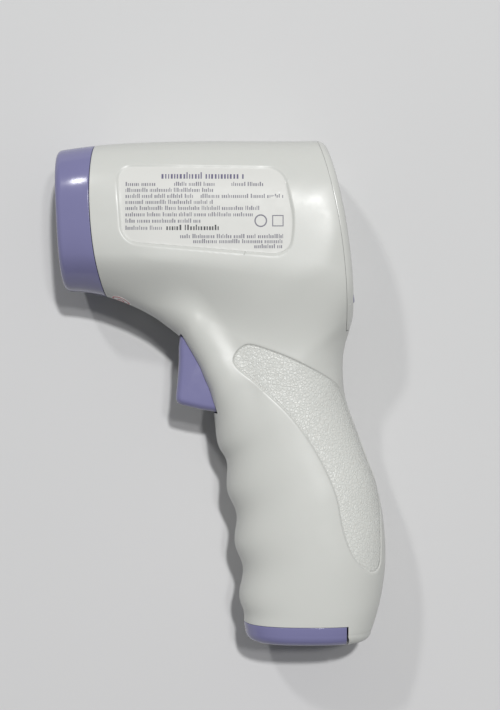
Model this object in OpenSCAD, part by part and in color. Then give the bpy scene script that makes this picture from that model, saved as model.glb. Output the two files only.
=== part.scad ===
// Pistol-shaped infrared thermometer, lying on its right side.
// X runs from the sensor nose (-X) to the display (+X), Y from the battery door (-Y) to the top of
// the barrel (+Y), and Z is up through the two casing halves. The origin is at the middle of the
// object's box to within 1 mm, on the surface that it lies on. Modules draw about the mid-plane, z = 0, and
// lay() lifts them onto that surface.

/* [Casing] */
// Half thickness of the barrel, from the mid-plane to its side
half_thickness = 21; // [20.5:0.1:21.3]
// Wall of the two casing halves
wall = 1.9; // [1.6:0.1:2]
// Height of each finger swell on the front of the handle
finger_swell = 0.85; // [0:0.05:1]
// Distance from one finger swell to the next
finger_pitch = 16.6; // [15:0.2:18]
// Depth of the label panel and of the textured grip panel
panel_depth = 0.4; // [0.2:0.05:0.6]

/* [Moving parts] */
// Half width of the trigger
trigger_half = 9; // [8:0.25:9]
// Pin radius of the battery door's hinge
door_pin_r = 0.75; // [0.6:0.05:0.8]
// Width of one display key, across the display
key_w = 7; // [6:0.25:7.5]
// Height of one display key
key_h = 5; // [4:0.25:5.5]

/* [Display] */
// Width of the display window
window_w = 30; // [26:0.5:31]
// Height of the display window
window_h = 25; // [20:0.5:25]

/* [Cells] */
// Radius of one AA cell
cell_r = 7; // [6.8:0.05:7.05]
// Length of one AA cell over its button
cell_l = 50.3; // [49.5:0.1:50.5]

/* [Hidden] */
$fn = 48;

white = [0.82, 0.83, 0.80];
violet = [0.50, 0.49, 0.66];
dark = [0.10, 0.11, 0.12];
board_green = [0.10, 0.36, 0.20];
steel = [0.75, 0.75, 0.77];
brass = [0.78, 0.62, 0.30];

gap = 0.3;            // running gap between pieces that move apart
touch = 0.05;         // gap between pieces that only touch
bench_z = half_thickness;

// Each station is one cross-section of the casing: the point on the front outline, the point on
// the back outline, the half thickness and the squareness of the superellipse between them.
// Stations 0 to 6 cross the barrel, 7 to 14 fan round its rear, and 15 to 25 cross the handle.
// Stations 9 to 13 reach past the display face, which face_cylinder() then cuts. The flat side of
// the barrel is where the half thickness is more than half_thickness.
stations = [
    [-48.1, 31.6, -50.3, 74.8, 18.6, 2.6],
    [-42.0, 31.2, -44.6, 75.6, 19.6, 2.7],
    [-35.4, 29.9, -38.2, 76.3, 20.3, 2.8],
    [-28.3, 27.4, -28.5, 77.0, 20.8, 2.9],
    [-21.0, 23.7, -16.0, 77.4, 21.4, 3.0],
    [-15.8, 20.0, -3.0, 77.6, 21.4, 3.0],
    [-12.2, 17.0, 10.0, 77.6, 21.4, 3.0],
    [-10.2, 13.6, 22.0, 77.6, 21.4, 3.0],
    [-8.4, 10.3, 33.0, 77.5, 21.4, 3.0],
    [-6.6, 7.0, 43.0, 75.0, 21.4, 3.1],
    [-5.2, 3.8, 47.5, 64.0, 21.4, 3.2],
    [-3.8, 0.6, 48.0, 50.0, 20.8, 3.2],
    [-2.9, -2.7, 46.8, 37.0, 20.2, 3.05],
    [-2.1, -6.2, 43.6, 27.0, 19.2, 2.8],
    [-1.7, -9.8, 39.8, 19.0, 18.1, 2.55],
    [-1.3, -13.5, 38.1, 12.5, 17.2, 2.45],
    [-0.2, -17.5, 37.9, 6.0, 16.6, 2.4],
    [1.2, -22.0, 38.6, -1.0, 16.3, 2.35],
    [2.4, -27.5, 41.2, -9.0, 16.3, 2.35],
    [3.5, -34.0, 44.8, -18.5, 16.5, 2.35],
    [4.6, -41.5, 48.2, -28.0, 16.8, 2.4],
    [5.6, -49.5, 50.5, -40.0, 17.0, 2.4],
    [6.3, -57.5, 51.0, -52.0, 17.0, 2.45],
    [6.8, -65.0, 49.6, -63.0, 16.8, 2.5],
    [7.3, -71.0, 47.4, -71.0, 16.4, 2.6],
    [7.6, -72.9, 46.6, -72.9, 16.2, 2.65]
];
last_station = len(stations) - 1;
nose_round = 2.4;
nose_pitch = 5.9;     // length of the barrel's first station
base_round = 3.2;
casing_steps = 2;     // sections per station on the casing
arc_steps = 16;       // flats round half a section

function unit(v) = v / norm(v);
function catmull(a, b, c, d, u) =
    0.5 * (2 * b + (c - a) * u + (2 * a - 5 * b + 4 * c - d) * u * u
        + (3 * b - a - 3 * c + d) * u * u * u);
function station_at(i) = stations[max(0, min(last_station, i))];
function station(t) =
    let (i = min(floor(t), last_station - 1))
    catmull(station_at(i - 1), station_at(i), station_at(i + 1), station_at(i + 2), t - i);
function ramp(x) = let (c = max(0, min(1, x))) c * c * (3 - 2 * c);

// The finger swells are a cosine along the front of the handle that fades in and out.
swell_valley_y = -37.8;
function swell(y) =
    -finger_swell * cos(360 * (y - swell_valley_y) / finger_pitch)
    * ramp((-13 - y) / 8) * ramp((y + 71) / 6);

// The casing slims under the barrel, down to neck_half, and widens again down the handle.
neck_half = 15.8;
function slimming(x, y) =
    let (
        high = 42 - 0.009 * pow(max(0, x - 12), 2),
        low = 27 - 15.5 * ramp((x + 20) / 45)
    )
    ramp((high - y) / (high - low)) * ramp((y + 22) / 24);

// A section is [front point, back point, half thickness, squareness, slim share, trigger share],
// drawn in by inset all round. The slim share is how much of the thickness slimming() can take.
// The trigger share is how far it is kept off the front edge, where the trigger is.
function section(t, inset) =
    let (
        s = station(t),
        across = unit([s[2] - s[0], s[3] - s[1]])
    )
    [
        [s[0], s[1]] + across * (inset - swell(s[1])),
        [s[2], s[3]] - across * inset,
        s[4] - inset,
        s[5],
        max(0, 1 - neck_half / s[4]),
        ramp((t - 4) / 3)
    ];
function drop(s, dy, inset) =
    [s[0] + [inset, -dy], s[1] + [-inset, -dy], s[2] - inset, s[3], s[4], s[5]];

// The nose edge and the base edge are quarter rounds made of ever smaller sections.
function nose_sections(inset) = [
    for (a = [90, 60, 30]) section((1 - sin(a)) * nose_round / nose_pitch, inset + nose_round * (1 - cos(a)))
];
function base_sections(inset) = [
    for (a = [22.5, 45, 67.5, 90])
        let (r = base_round - inset)
        drop(section(last_station, inset), r * sin(a), r * (1 - cos(a)))
];
// The lower end of the display face bends fastest, so it takes twice the sections.
bend = [10, 16];
function body_sections(t0, t1, inset, steps) = [
    for (i = [0 : ceil((t1 - t0) * steps - 0.001)])
        let (t = min(t1, t0 + i / steps), doubled = t >= bend[0] && t < min(bend[1], t1 - 0.4 / steps))
        for (part = doubled ? [0, 0.5] : [0]) section(t + part / steps, inset)
];

function bent(x, n) = sign(x) * pow(abs(x), 2 / n);
function section_point(s, angle, flat) =
    let (
        u = bent(cos(angle), s[3]),
        p = (s[0] + s[1]) / 2 + u * (s[1] - s[0]) / 2,
        kept = s[5] * (1 - ramp(norm(p - s[0]) / 16)),
        slim = 1 - s[4] * (1 - kept) * slimming(p[0], p[1]),
        z = bent(sin(angle), s[3]) * s[2] * slim
    )
    [p[0], p[1], max(-flat, min(flat, z))];

// A closed solid lofted through rings that all have the same number of points, which turn
// anticlockwise about the way that the rings advance.
module loft(rings) {
    n = len(rings[0]);
    m = len(rings);
    polyhedron(
        points = [for (r = rings) for (p = r) p],
        faces = concat(
            [[for (i = [0 : n - 1]) i]],
            [for (k = [0 : m - 2]) for (i = [0 : n - 1]) for (side = [0, 1])
                let (a = k * n + i, b = k * n + (i + 1) % n)
                side == 0 ? [a, b + n, b] : [a, a + n, b + n]],
            [[for (i = [n - 1 : -1 : 0]) (m - 1) * n + i]]
        )
    );
}

// The upper half of the casing's form. skirt extends it below the mid-plane.
module half_form(sections, flat = half_thickness, skirt = 0, arcs = arc_steps) {
    loft([
        for (s = sections) concat(
            [for (i = [0 : arcs]) section_point(s, 180 * i / arcs, flat)],
            skirt > 0 ? [[s[0][0], s[0][1], -skirt], [s[1][0], s[1][1], -skirt]] : []
        )
    ]);
}
module full_form(sections, flat = half_thickness) {
    loft([
        for (s = sections)
            [for (i = [0 : 2 * arc_steps - 1]) section_point(s, 180 * i / arc_steps, flat)]
    ]);
}

// Where the barrel meets the nose ring: inside this cylinder is casing.
joint_r = 143.03;
module joint_cylinder(extra = 0) {
    translate([104.05, 62.5, -40]) cylinder(r = joint_r + extra, h = 80);
}
// The display face is part of a wide cylinder, and the seam of its bezel is a smaller one.
face_r = 187;
face_centre = [-146.4, 20.6];
bezel_t = 2.2;
bezel_foot_y = 19;
module face_cylinder(r) {
    translate([face_centre[0], face_centre[1], -30]) cylinder(r = r, h = 60);
}

module lay() { translate([0, 0, bench_z]) children(); }
module box(low, high) {
    translate(low) cube([high[0] - low[0], high[1] - low[1], high[2] - low[2]]);
}

// Frames. In nose_frame() +Z leaves through the sensor opening; in rear_frame() +X leaves through
// the display and +Y runs up it; in cell_frame() +Z runs up the cells from the battery door.
nose_origin = [-49.2, 53.2];
nose_turn = 182.92;
rear_turn = asin((52 - face_centre[1]) / face_r);
rear_origin = [face_centre[0] + face_r * cos(rear_turn), 52];
cell_turn = 4;
cell_origin = [24.35, -71.6];
module nose_frame() {
    translate(nose_origin) rotate([0, 0, nose_turn]) rotate([0, 90, 0]) children();
}
module rear_frame() {
    translate(rear_origin) rotate([0, 0, rear_turn]) children();
}
module cell_frame() {
    translate(cell_origin) rotate([0, 0, cell_turn]) rotate([-90, 0, 0]) children();
}
function turned(origin, x, y, a, z) = [
    origin[0] + x * cos(a) - y * sin(a),
    origin[1] + x * sin(a) + y * cos(a),
    z
];
function rear_point(x, y, z) = turned(rear_origin, x, y, rear_turn, z);
function nose_point(depth, y, z) = turned(nose_origin, -depth, y, nose_turn, z);
function cell_point(x, up, z) = turned(cell_origin, x, up, cell_turn, z);

// Trigger, door and screw places on the mid-plane.
pivot = [-6.5, 15];
pivot_r = 1.5;
slot_top_y = 17.9;
hinge = [36.8, -74.5];
knuckle_r = 1.4;
door_top_y = -70.3;
door_end_x = 38.3;
screw_places = [[-28.3, 69.2], [-25.3, 33.6], [19.5, 71.2], [13.5, 5.5], [44.2, -37.5], [43.2, -62.5]];
screw_r = 1.18;
screw_head_r = 2.3;

trigger_outline = [
    [-11.7, 16.6], [-12.5, 13.2], [-12.7, 9.3], [-13.1, 5.4], [-13.6, 1.2], [-13.9, -1.8],
    [-13.6, -3.1], [-12.6, -4.2], [-9.5, -5.4], [-5.5, -6.1], [-1.6, -6.3],
    [-0.6, -3.0], [-0.9, 3.0], [-2.6, 8.2], [-4.0, 12.0], [-4.6, 17.1], [-8.4, 17.4], [-10.6, 17.1]
];

// ---------- casing ----------

module label_outline(margin = 0) {
    offset(r = 5 - margin, $fn = 40) offset(delta = -5)
        polygon([[-31.2, 68.9], [19.4, 68.3], [23.6, 47.6], [20.6, 40.9], [-29.4, 45.0]]);
}
// The grip panel's outline: a leaf whose blunt end is at the top and whose tip is low on the back.
grip_points = [
    [4.0, 9.6], [7.6, 15.0], [15.0, 13.5], [25.5, 9.1], [36.2, 2.4], [40.6, -7.6], [45.6, -18.6],
    [48.9, -30], [49.4, -43], [48.9, -52.4], [45.2, -54.2], [40.0, -49.0], [36.9, -41], [34.6, -30],
    [28.8, -17.6], [20.9, -6.6], [11.6, 2.2]
];
function loop_curve(p, steps) = [
    for (i = [0 : len(p) - 1]) for (k = [0 : steps - 1])
        catmull(p[(i + len(p) - 1) % len(p)], p[i], p[(i + 1) % len(p)], p[(i + 2) % len(p)], k / steps)
];

module panel_recess(sections) {
    difference() {
        children();
        half_form(sections, half_thickness - panel_depth, 1);
    }
}

module casing_wall(front_panel) {
    difference() {
        half_form(concat(body_sections(1, last_station, 0, casing_steps), base_sections(0)));
        half_form(
            concat(body_sections(0.6, last_station, wall, 2), base_sections(wall)),
            half_thickness - wall, 1, 10
        );
        if (front_panel)
            panel_recess(body_sections(1, 10, panel_depth, casing_steps))
                translate([0, 0, 12]) linear_extrude(12) label_outline();
        panel_recess(body_sections(7, 23, panel_depth, casing_steps))
            translate([0, 0, 3]) linear_extrude(24) polygon(loop_curve(grip_points, 3));
    }
}

// Bosses, sockets and ribs inside one half, before they are trimmed to the casing's form.
module inner_posts(boss_r) {
    for (p = screw_places)
        translate([p[0], p[1], touch]) cylinder(r = boss_r, h = 30);
    translate([pivot[0], pivot[1], trigger_half + 0.2]) cylinder(r = 3, h = 20);
    // seat behind the trigger's spring
    box([3.2, -6.2, touch], [4.6, 2.4, 20]);
    // cradle ribs round the two cells
    for (up = [9, 25, 41])
        difference() {
            cell_frame() translate([-22, -30, up]) cube([44, 30, 1.4]);
            cell_frame() for (side = [-1, 1])
                translate([side * (cell_r + 0.15), 0, up - 1]) cylinder(r = cell_r + 0.2, h = 4);
            cell_frame() translate([-cell_r - 0.15, -3, up - 1]) cube([2 * cell_r + 0.3, 4, 4]);
        }
}

// The door's pin is held by a lug on an arm from the heel.
module hinge_lug() {
    difference() {
        union() {
            translate([hinge[0], hinge[1], 7]) cylinder(r = knuckle_r, h = 3);
            box([hinge[0], hinge[1] - knuckle_r + 0.2, 7], [40.4, hinge[1] + knuckle_r, 10]);
        }
        translate([hinge[0], hinge[1], 6]) cylinder(r = door_pin_r + 0.03, h = 3.9);
    }
}

module trimmed_posts(boss_r) {
    intersection() {
        inner_posts(boss_r);
        half_form(
            concat(body_sections(0.8, last_station, wall / 2, 2), base_sections(wall / 2)),
            half_thickness - wall / 2, 0, 10
        );
    }
}

module casing_openings() {
    // nose
    difference() {
        box([-60, 20, -1], [-20, 90, 30]);
        joint_cylinder();
    }
    // display end
    difference() {
        box([20, bezel_foot_y, -1], [60, 90, 30]);
        face_cylinder(face_r - bezel_t);
    }
    // battery door, with room round its hinge for its end to turn in
    box([0, -85, -1], [door_end_x + 0.6, door_top_y + gap, 30]);
    translate([hinge[0], hinge[1], -1]) cylinder(r = 2.6, h = 31);
    // trigger slot and pivot socket
    box([-20, -6.75, -1], [3.1, slot_top_y, trigger_half + 0.2]);
    translate([pivot[0], pivot[1], 0]) cylinder(r = pivot_r + 0.04, h = trigger_half + 2.3);
}

module left_shell() {
    color(white) lay() union() {
        difference() {
            union() {
                casing_wall(true);
                trimmed_posts(3);
            }
            casing_openings();
            for (p = screw_places) translate([p[0], p[1], -1]) cylinder(r = screw_r + 0.02, h = 9);
        }
        hinge_lug();
    }
}

screw_seat = 4.4;     // depth of each screw head's seat below the mid-plane
module right_shell() {
    color(white) lay() mirror([0, 0, 1]) union() {
        difference() {
            union() {
                casing_wall(false);
                trimmed_posts(4);
            }
            casing_openings();
            for (p = screw_places) {
                translate([p[0], p[1], -1]) cylinder(r = 1.45, h = 12);
                translate([p[0], p[1], screw_seat]) cylinder(r = screw_head_r + 0.4, h = 30);
            }
        }
        hinge_lug();
    }
}

module shell_screws() {
    color(steel) lay() for (p = screw_places) translate([p[0], p[1], 0]) difference() {
        union() {
            translate([0, 0, -screw_seat + touch]) cylinder(r = screw_r, h = screw_seat + 7.6);
            translate([0, 0, -screw_seat - 1.6]) cylinder(r = screw_head_r, h = 1.6);
        }
        for (a = [0, 90]) rotate([0, 0, a])
            translate([-1.3, -0.3, -screw_seat - 1.7]) cube([2.6, 0.6, 0.9]);
    }
}

ring_lip = 2.35;      // inset of the spigot that enters the casing
ring_bore_r = 14.2;
module nose_ring() {
    color(violet) lay() difference() {
        union() {
            difference() {
                full_form(concat(nose_sections(0), body_sections(0.41, 2.6, 0, casing_steps)));
                joint_cylinder(0.08);
            }
            full_form(body_sections(0.6, 2.4, ring_lip, casing_steps));
        }
        full_form(body_sections(0.36, 2.6, ring_lip + 1.6, casing_steps));
        full_form(body_sections(0.36, 1.1, ring_lip, casing_steps));
        nose_frame() translate([0, 0, -8]) cylinder(r = ring_bore_r, h = 12);
    }
}

board_x = -12.15;     // back face of the main board
board_t = 1.6;
// Each post that carries the main board: its y, its z and its length.
board_posts = [[15.2, -12.2, 8.4], [15.2, 12.2, 8.4], [-28, -6, 6.9], [-28, 6, 6.9]];
module rear_bezel() {
    color(white) lay() difference() {
        union() {
            intersection() {
                full_form(body_sections(7, 15, 0, 3));
                face_cylinder(face_r);
                difference() {
                    box([20, bezel_foot_y + 0.15, -30], [60, 90, 30]);
                    face_cylinder(face_r - bezel_t + 0.05);
                }
            }
            rear_frame() box([-4.2, -14.5, -16.2], [-1.6, 12.9, 16.2]);
            for (p = board_posts) rear_frame()
                translate([board_x + board_t + touch, p[0], p[1]]) rotate([0, 90, 0])
                    cylinder(r = 1.7, h = p[2]);
        }
        rear_frame() {
            box(
                [-1.95, -window_h / 2 - 0.1, -window_w / 2 - 0.1],
                [3, window_h / 2 + 0.1, window_w / 2 + 0.1]
            );
            box([-8, -11, -13.5], [3, 11, 13.5]);
            for (z = [-10, 0, 10]) key_form(key_w + 0.3, key_h + 0.3, -8, 3, z);
            for (p = board_posts)
                translate([-11, p[0], p[1]]) rotate([0, 90, 0]) cylinder(r = 0.82, h = 5.5);
        }
    }
}

// A key's outline is a bar with round ends, drawn along +X from x0 to x1. The keys end almost flush
// with the display face, which curves back to -1.3 where they are.
key_y = -22.2;
key_top = -1.15;
module key_form(w, h, x0, x1, z) {
    translate([x0, key_y, z]) rotate([0, 90, 0]) linear_extrude(x1 - x0) union() {
        square([w - h, h], center = true);
        for (s = [-1, 1]) translate([s * (w - h) / 2, 0]) circle(d = h);
    }
}

module rating_label() {
    color([0.87, 0.88, 0.86]) lay() intersection() {
        translate([0, 0, 12]) linear_extrude(12) label_outline(0.7);
        difference() {
            half_form(body_sections(1, 10, 0.18, casing_steps), half_thickness - 0.18);
            half_form(
                body_sections(0.9, 10, panel_depth - 0.04, casing_steps),
                half_thickness - panel_depth + 0.04, 1
            );
        }
    }
}

// Stands children on the casing's skin, with +Z out of it.
module on_skin(t, angle) {
    p = section_point(section(t, 0), angle, half_thickness);
    along = unit(section_point(section(t + 0.05, 0), angle, half_thickness) - p);
    across = unit(section_point(section(t, 0), angle + 1, half_thickness) - p);
    out = unit(cross(across, along));
    side = cross(out, along);
    multmatrix([for (i = [0 : 2]) [along[i], side[i], out[i], p[i]]]) children();
}
module seal_sticker() {
    color([0.93, 0.93, 0.92]) lay()
        on_skin(2.7, 168.75) translate([0, 0, 0.1]) cylinder(r = 3, h = 0.12);
}

// ---------- nose ----------

module sensor_cup() {
    color(dark) lay() nose_frame() rotate_extrude() polygon([
        [5.1, -15.2], [ring_bore_r - 0.1, -2.6], [ring_bore_r - 0.1, -2.45], [15.9, -2.45],
        [15.9, -3.9], [14.6, -3.9], [7.1, -14.2], [7.1, -18.4], [5.1, -18.4]
    ]);
}
module sensor_window() {
    color([0.30, 0.28, 0.32]) lay() nose_frame() translate([0, 0, -17.2]) cylinder(r = 5.05, h = 1);
}
module sensor_barrel() {
    color(brass) lay() nose_frame() rotate_extrude() polygon([
        [4.75, -26.4], [4.75, -19.9], [2.6, -19.0], [2.6, -18.5], [7, -18.5], [7, -26.4]
    ]);
}
module thermopile() {
    color(steel) lay() nose_frame() rotate_extrude() polygon([
        [0, -24.6], [4.6, -24.6], [4.6, -23.8], [4.1, -23.8],
        [4.1, -20.8], [1.3, -20.8], [1.3, -21.2], [0, -21.2]
    ]);
}
module thermopile_pins() {
    color(steel) lay() nose_frame() for (a = [45 : 90 : 315])
        rotate([0, 0, a]) translate([2.5, 0, -28.6]) cylinder(r = 0.23, h = 4);
}
module sensor_board() {
    color(board_green) lay() nose_frame() difference() {
        translate([-8, -8, -28]) cube([16, 16, 1.5]);
        for (a = [45 : 90 : 315])
            rotate([0, 0, a]) translate([2.5, 0, -29]) cylinder(r = 0.28, h = 4);
    }
}

// ---------- display, keys and main board, drawn in rear_frame() ----------

switch_top = -6.1;    // end of each key switch's plunger
module display_window() {
    color([0.08, 0.09, 0.10, 0.6]) lay() rear_frame()
        box([-1.9, -window_h / 2, -window_w / 2], [-0.75, window_h / 2, window_w / 2]);
}
module lcd_glass() {
    color([0.62, 0.66, 0.60]) lay() rear_frame() box([-7.1, -13, -15.4], [-4.3, 13, 15.4]);
}
module backlight() {
    color([0.95, 0.95, 0.92]) lay() rear_frame() box([-8.9, -10.4, -15.4], [-7.15, 10.4, 15.4]);
}
module lcd_connectors() {
    color([0.85, 0.45, 0.55]) lay() rear_frame() for (y = [-12.9, 10.7])
        box([board_x + board_t + touch, y, -14], [-7.15, y + 2.2, 14]);
}
module main_board() {
    color(board_green) lay() rear_frame() difference() {
        box([board_x, -30, -14.6], [board_x + board_t, 17.2, 14.6]);
        for (side = [-1, 1])
            translate([board_x, -30, side * 14.6]) rotate([45, 0, 0]) cube([8, 2.6, 2.6], center = true);
        for (p = board_posts)
            translate([board_x - 1, p[0], p[1]]) rotate([0, 90, 0]) cylinder(r = 1, h = 4);
    }
}
module key_switches() {
    color(dark) lay() rear_frame() for (z = [-10, 0, 10]) difference() {
        box([board_x + board_t + touch, key_y - 2.6, z - 2.6], [switch_top - 1, key_y + 2.6, z + 2.6]);
        translate([switch_top - 2.6, key_y, z]) rotate([0, 90, 0]) cylinder(r = 1.55, h = 3);
    }
}
module key_plunger(z) {
    color([0.2, 0.2, 0.2]) lay() rear_frame()
        translate([switch_top - 2.0, key_y, z]) rotate([0, 90, 0]) cylinder(r = 1.4, h = 2.0);
}
module key(z) {
    color(violet) lay() rear_frame() {
        key_form(key_w, key_h, -5.0, key_top, z);
        key_form(key_w + 1.6, key_h + 1.6, -5.4, -4.6, z);
        translate([switch_top + 0.01, key_y, z]) rotate([0, 90, 0]) cylinder(r = 1.3, h = 0.9);
    }
}
module key_left() { key(-10); }
module key_mode() { key(0); }
module key_right() { key(10); }
module key_left_plunger() { key_plunger(-10); }
module key_mode_plunger() { key_plunger(0); }
module key_right_plunger() { key_plunger(10); }

module chip(x, y, z, sy, sz, height) {
    rear_frame() box([x - height, y - sy / 2, z - sz / 2], [x - touch, y + sy / 2, z + sz / 2]);
}
module controller_chip() { color(dark) lay() chip(board_x, 4, 2, 10, 10, 1.5); }
module memory_chip() { color(dark) lay() chip(board_x, -8, -7.5, 5, 4, 1.4); }
module crystal() { color(steel) lay() chip(board_x, 4, -8.5, 8, 3.4, 2.4); }
module buzzer() {
    color(dark) lay() rear_frame() difference() {
        translate([board_x - 4.5, -9, 6.5]) rotate([0, 90, 0]) cylinder(r = 5, h = 4.45);
        translate([board_x - 4.6, -9, 6.5]) rotate([0, 90, 0]) cylinder(r = 0.8, h = 1.5);
    }
}
socket_out = 5;
module board_sockets() {
    color([0.92, 0.90, 0.84]) lay() {
        chip(board_x, -19, 5, 5, 7, socket_out);
        chip(board_x, -19, -7, 5, 5, socket_out);
        chip(board_x, 13, 0, 5, 10, socket_out);
    }
}
module board_screws() {
    color(steel) lay() rear_frame() for (p = board_posts)
        translate([0, p[0], p[1]]) rotate([0, 90, 0]) {
            translate([0, 0, board_x - 1.3]) cylinder(r = 1.6, h = 1.25);
            translate([0, 0, board_x - 0.2]) cylinder(r = 0.8, h = 5.8);
        }
}

// ---------- trigger ----------

module trigger_shape(z) {
    translate([0, 0, -z]) linear_extrude(2 * z) polygon(trigger_outline);
}
nub_y = pivot[1] - 6;
module trigger() {
    color(violet) lay() difference() {
        union() {
            difference() {
                union() {
                    trigger_shape(trigger_half);
                    translate([pivot[0], pivot[1], -trigger_half]) cylinder(r = 2.4, h = 2 * trigger_half);
                }
                // hollow back
                translate([0, 0, -trigger_half + 1.6]) linear_extrude(2 * trigger_half - 3.2)
                    polygon([
                        [-11.0, 9.5], [-11.9, -1.6], [-11.0, -2.9],
                        [3, -4.6], [3, 11.4], [-9.4, 11.4]
                    ]);
            }
            translate([pivot[0], pivot[1], -trigger_half - 2])
                cylinder(r = pivot_r, h = 2 * trigger_half + 4);
            box([-11.4, nub_y - 0.4, -2], [-4.0, nub_y + 0.4, 2]);
            translate([-12.2, -0.6, 0]) rotate([0, 90, 0]) cylinder(r = 1.6, h = 2.6);
        }
        // clearance over the switch board
        box([-1.4, 2, -6], [6, 20, 6]);
    }
}
switch_x = -2.35;
module trigger_switch() {
    color(dark) lay() difference() {
        box([switch_x, nub_y - 3, -3], [1.2, nub_y + 3, 3]);
        translate([switch_x - 1, nub_y, 0]) rotate([0, 90, 0]) cylinder(r = 1.6, h = 3.2);
    }
}
module trigger_plunger() {
    color([0.2, 0.2, 0.2]) lay()
        translate([-3.95, nub_y, 0]) rotate([0, 90, 0]) cylinder(r = 1.45, h = 2.9);
}
module trigger_board() {
    color(board_green) lay() box([1.25, 3.4, -5.5], [2.45, 14.6, 5.5]);
}

// A round wire wound into a spring along +Z.
module coil(r, wire, turns, length, taper = 0) {
    rings = turns * 12;
    sides = 6;
    loft([
        for (k = [0 : rings])
            let (
                a = 360 * turns * k / rings,
                mid_r = r - taper * k / rings,
                z = wire + (length - 2 * wire) * k / rings
            )
            [for (i = [0 : sides - 1])
                let (b = 360 * i / sides, out = mid_r + wire * cos(b))
                [out * cos(a), out * sin(a), z - wire * sin(b)]]
    ]);
}
spring_x0 = -11.75;
spring_x1 = 3.15;
module trigger_spring() {
    color(steel) lay() translate([spring_x0, -0.6, 0]) rotate([0, 90, 0])
        coil(2.2, 0.25, 6, spring_x1 - spring_x0);
}

// ---------- cells and contacts ----------

cell_x = cell_r + 0.15;
can_l = cell_l - 1.4;
module battery_cells() {
    color([0.16, 0.30, 0.42]) lay() cell_frame() {
        translate([-cell_x, 0, 0]) cylinder(r = cell_r, h = can_l);
        translate([cell_x, 0, cell_l - can_l]) cylinder(r = cell_r, h = can_l);
    }
}
module cell_caps() {
    color(brass) lay() cell_frame() {
        translate([-cell_x, 0, can_l + 0.01]) cylinder(r = 2.7, h = cell_l - can_l - 0.01);
        translate([cell_x, 0, 0]) cylinder(r = 2.7, h = cell_l - can_l - 0.01);
    }
}
contact_up = cell_l + 3.6;
module contact_carrier() {
    color([0.25, 0.26, 0.28]) lay() cell_frame() translate([-14.4, -9, contact_up]) cube([28.8, 18, 1.5]);
}
module positive_contact() {
    color(steel) lay() cell_frame() union() {
        translate([-cell_x - 4, -4, contact_up - 0.5]) cube([8, 8, 0.45]);
        translate([-cell_x, 0, cell_l + touch]) cylinder(r = 2, h = contact_up - cell_l - 0.3);
    }
}
module negative_spring() {
    color(steel) lay() cell_frame() translate([cell_x, 0, contact_up - touch]) rotate([180, 0, 0])
        coil(4.2, 0.3, 3, 3.45, 1.6);
}
door_floor_y = -76.1 + 1.8;
module door_contact() {
    color(steel) lay() {
        box([12, door_floor_y + 0.02, -4], [34, door_floor_y + 0.45, 4]);
        for (p = [[16.9, 1.7], [31.2, 2.7]])
            translate([p[0], door_floor_y + 0.3, 0]) rotate([-90, 0, 0])
                cylinder(r1 = 3.4, r2 = 2, h = p[1]);
    }
}
module battery_door() {
    color(violet) lay() difference() {
        union() {
            intersection() {
                difference() {
                    full_form(concat(
                        body_sections(23, last_station, 0, casing_steps), base_sections(0)
                    ));
                    full_form(concat(
                        body_sections(22.8, last_station, 1.8, casing_steps), base_sections(1.8)
                    ));
                }
                box([0, -90, -30], [door_end_x, door_top_y, 30]);
            }
            translate([hinge[0], hinge[1], -6.7]) cylinder(r = knuckle_r - 0.05, h = 13.4);
            for (s = [-1, 1])
                box([11.6, door_floor_y - 0.5, s * 6.45 - 0.75], [12.6, -67.6, s * 6.45 + 0.75]);
        }
        for (s = [-1, 1])
            box(
                [hinge[0] - knuckle_r - 0.25, -85, s * 8.5 - 1.75],
                [60, hinge[1] + knuckle_r + 0.25, s * 8.5 + 1.75]
            );
        translate([hinge[0], hinge[1], -9.9]) cylinder(r = door_pin_r + 0.05, h = 19.8);
    }
}
module door_pin() {
    color(steel) lay() translate([hinge[0], hinge[1], -9.8]) cylinder(r = door_pin_r, h = 19.6);
}

// ---------- leads ----------

// A lead is a tube swept along a smooth curve through its points.
function open_curve(p, steps) = concat([
    for (i = [0 : len(p) - 2]) for (k = [0 : steps - 1])
        catmull(p[max(0, i - 1)], p[i], p[i + 1], p[min(len(p) - 1, i + 2)], k / steps)
], [p[len(p) - 1]]);
module lead(points, r) {
    path = open_curve(points, 3);
    n = len(path);
    loft([
        for (k = [0 : n - 1])
            let (
                along = unit(path[min(n - 1, k + 1)] - path[max(0, k - 1)]),
                side = unit(cross([0, 0, 1], along)),
                up = cross(along, side)
            )
            [for (a = [0 : 45 : 315]) path[k] + r * (cos(a) * side + sin(a) * up)]
    ]);
}
lead_r = 0.6;
socket_x = board_x - socket_out - touch;
module battery_lead(side, z) {
    lead([
        cell_point(side * cell_x, contact_up + 1.8, z), cell_point(side * cell_x + 1, contact_up + 5, z),
        [22 + side, 0, z], [25.5 + side, 12, z], [25.5 + side, 20, z + 0.5],
        rear_point(socket_x - 5, -19.5 + side, z + 1), rear_point(socket_x, -19 + side, z + 1)
    ], lead_r);
}
module red_lead() { color([0.75, 0.10, 0.10]) lay() battery_lead(-1, 3); }
module black_lead() { color(dark) lay() battery_lead(1, 5.5); }
module sensor_leads() {
    color([0.85, 0.85, 0.85]) lay() for (z = [-3 : 2 : 3])
        lead([
            nose_point(28.1, 3, z), nose_point(33, 2, z), [-8, 50, z], [6, 52, z],
            rear_point(socket_x - 6, 12, z), rear_point(socket_x, 13, z)
        ], 0.45);
}
module switch_leads() {
    color([0.9, 0.9, 0.9]) lay() for (z = [-8.2, -6.2])
        lead([
            [2.55, 12, z + 3.2], [6, 13.5, z + 1.5], [12, 19, z], [18, 25, z],
            rear_point(socket_x - 5, -20, z), rear_point(socket_x, -19, z)
        ], 0.45);
}

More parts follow.
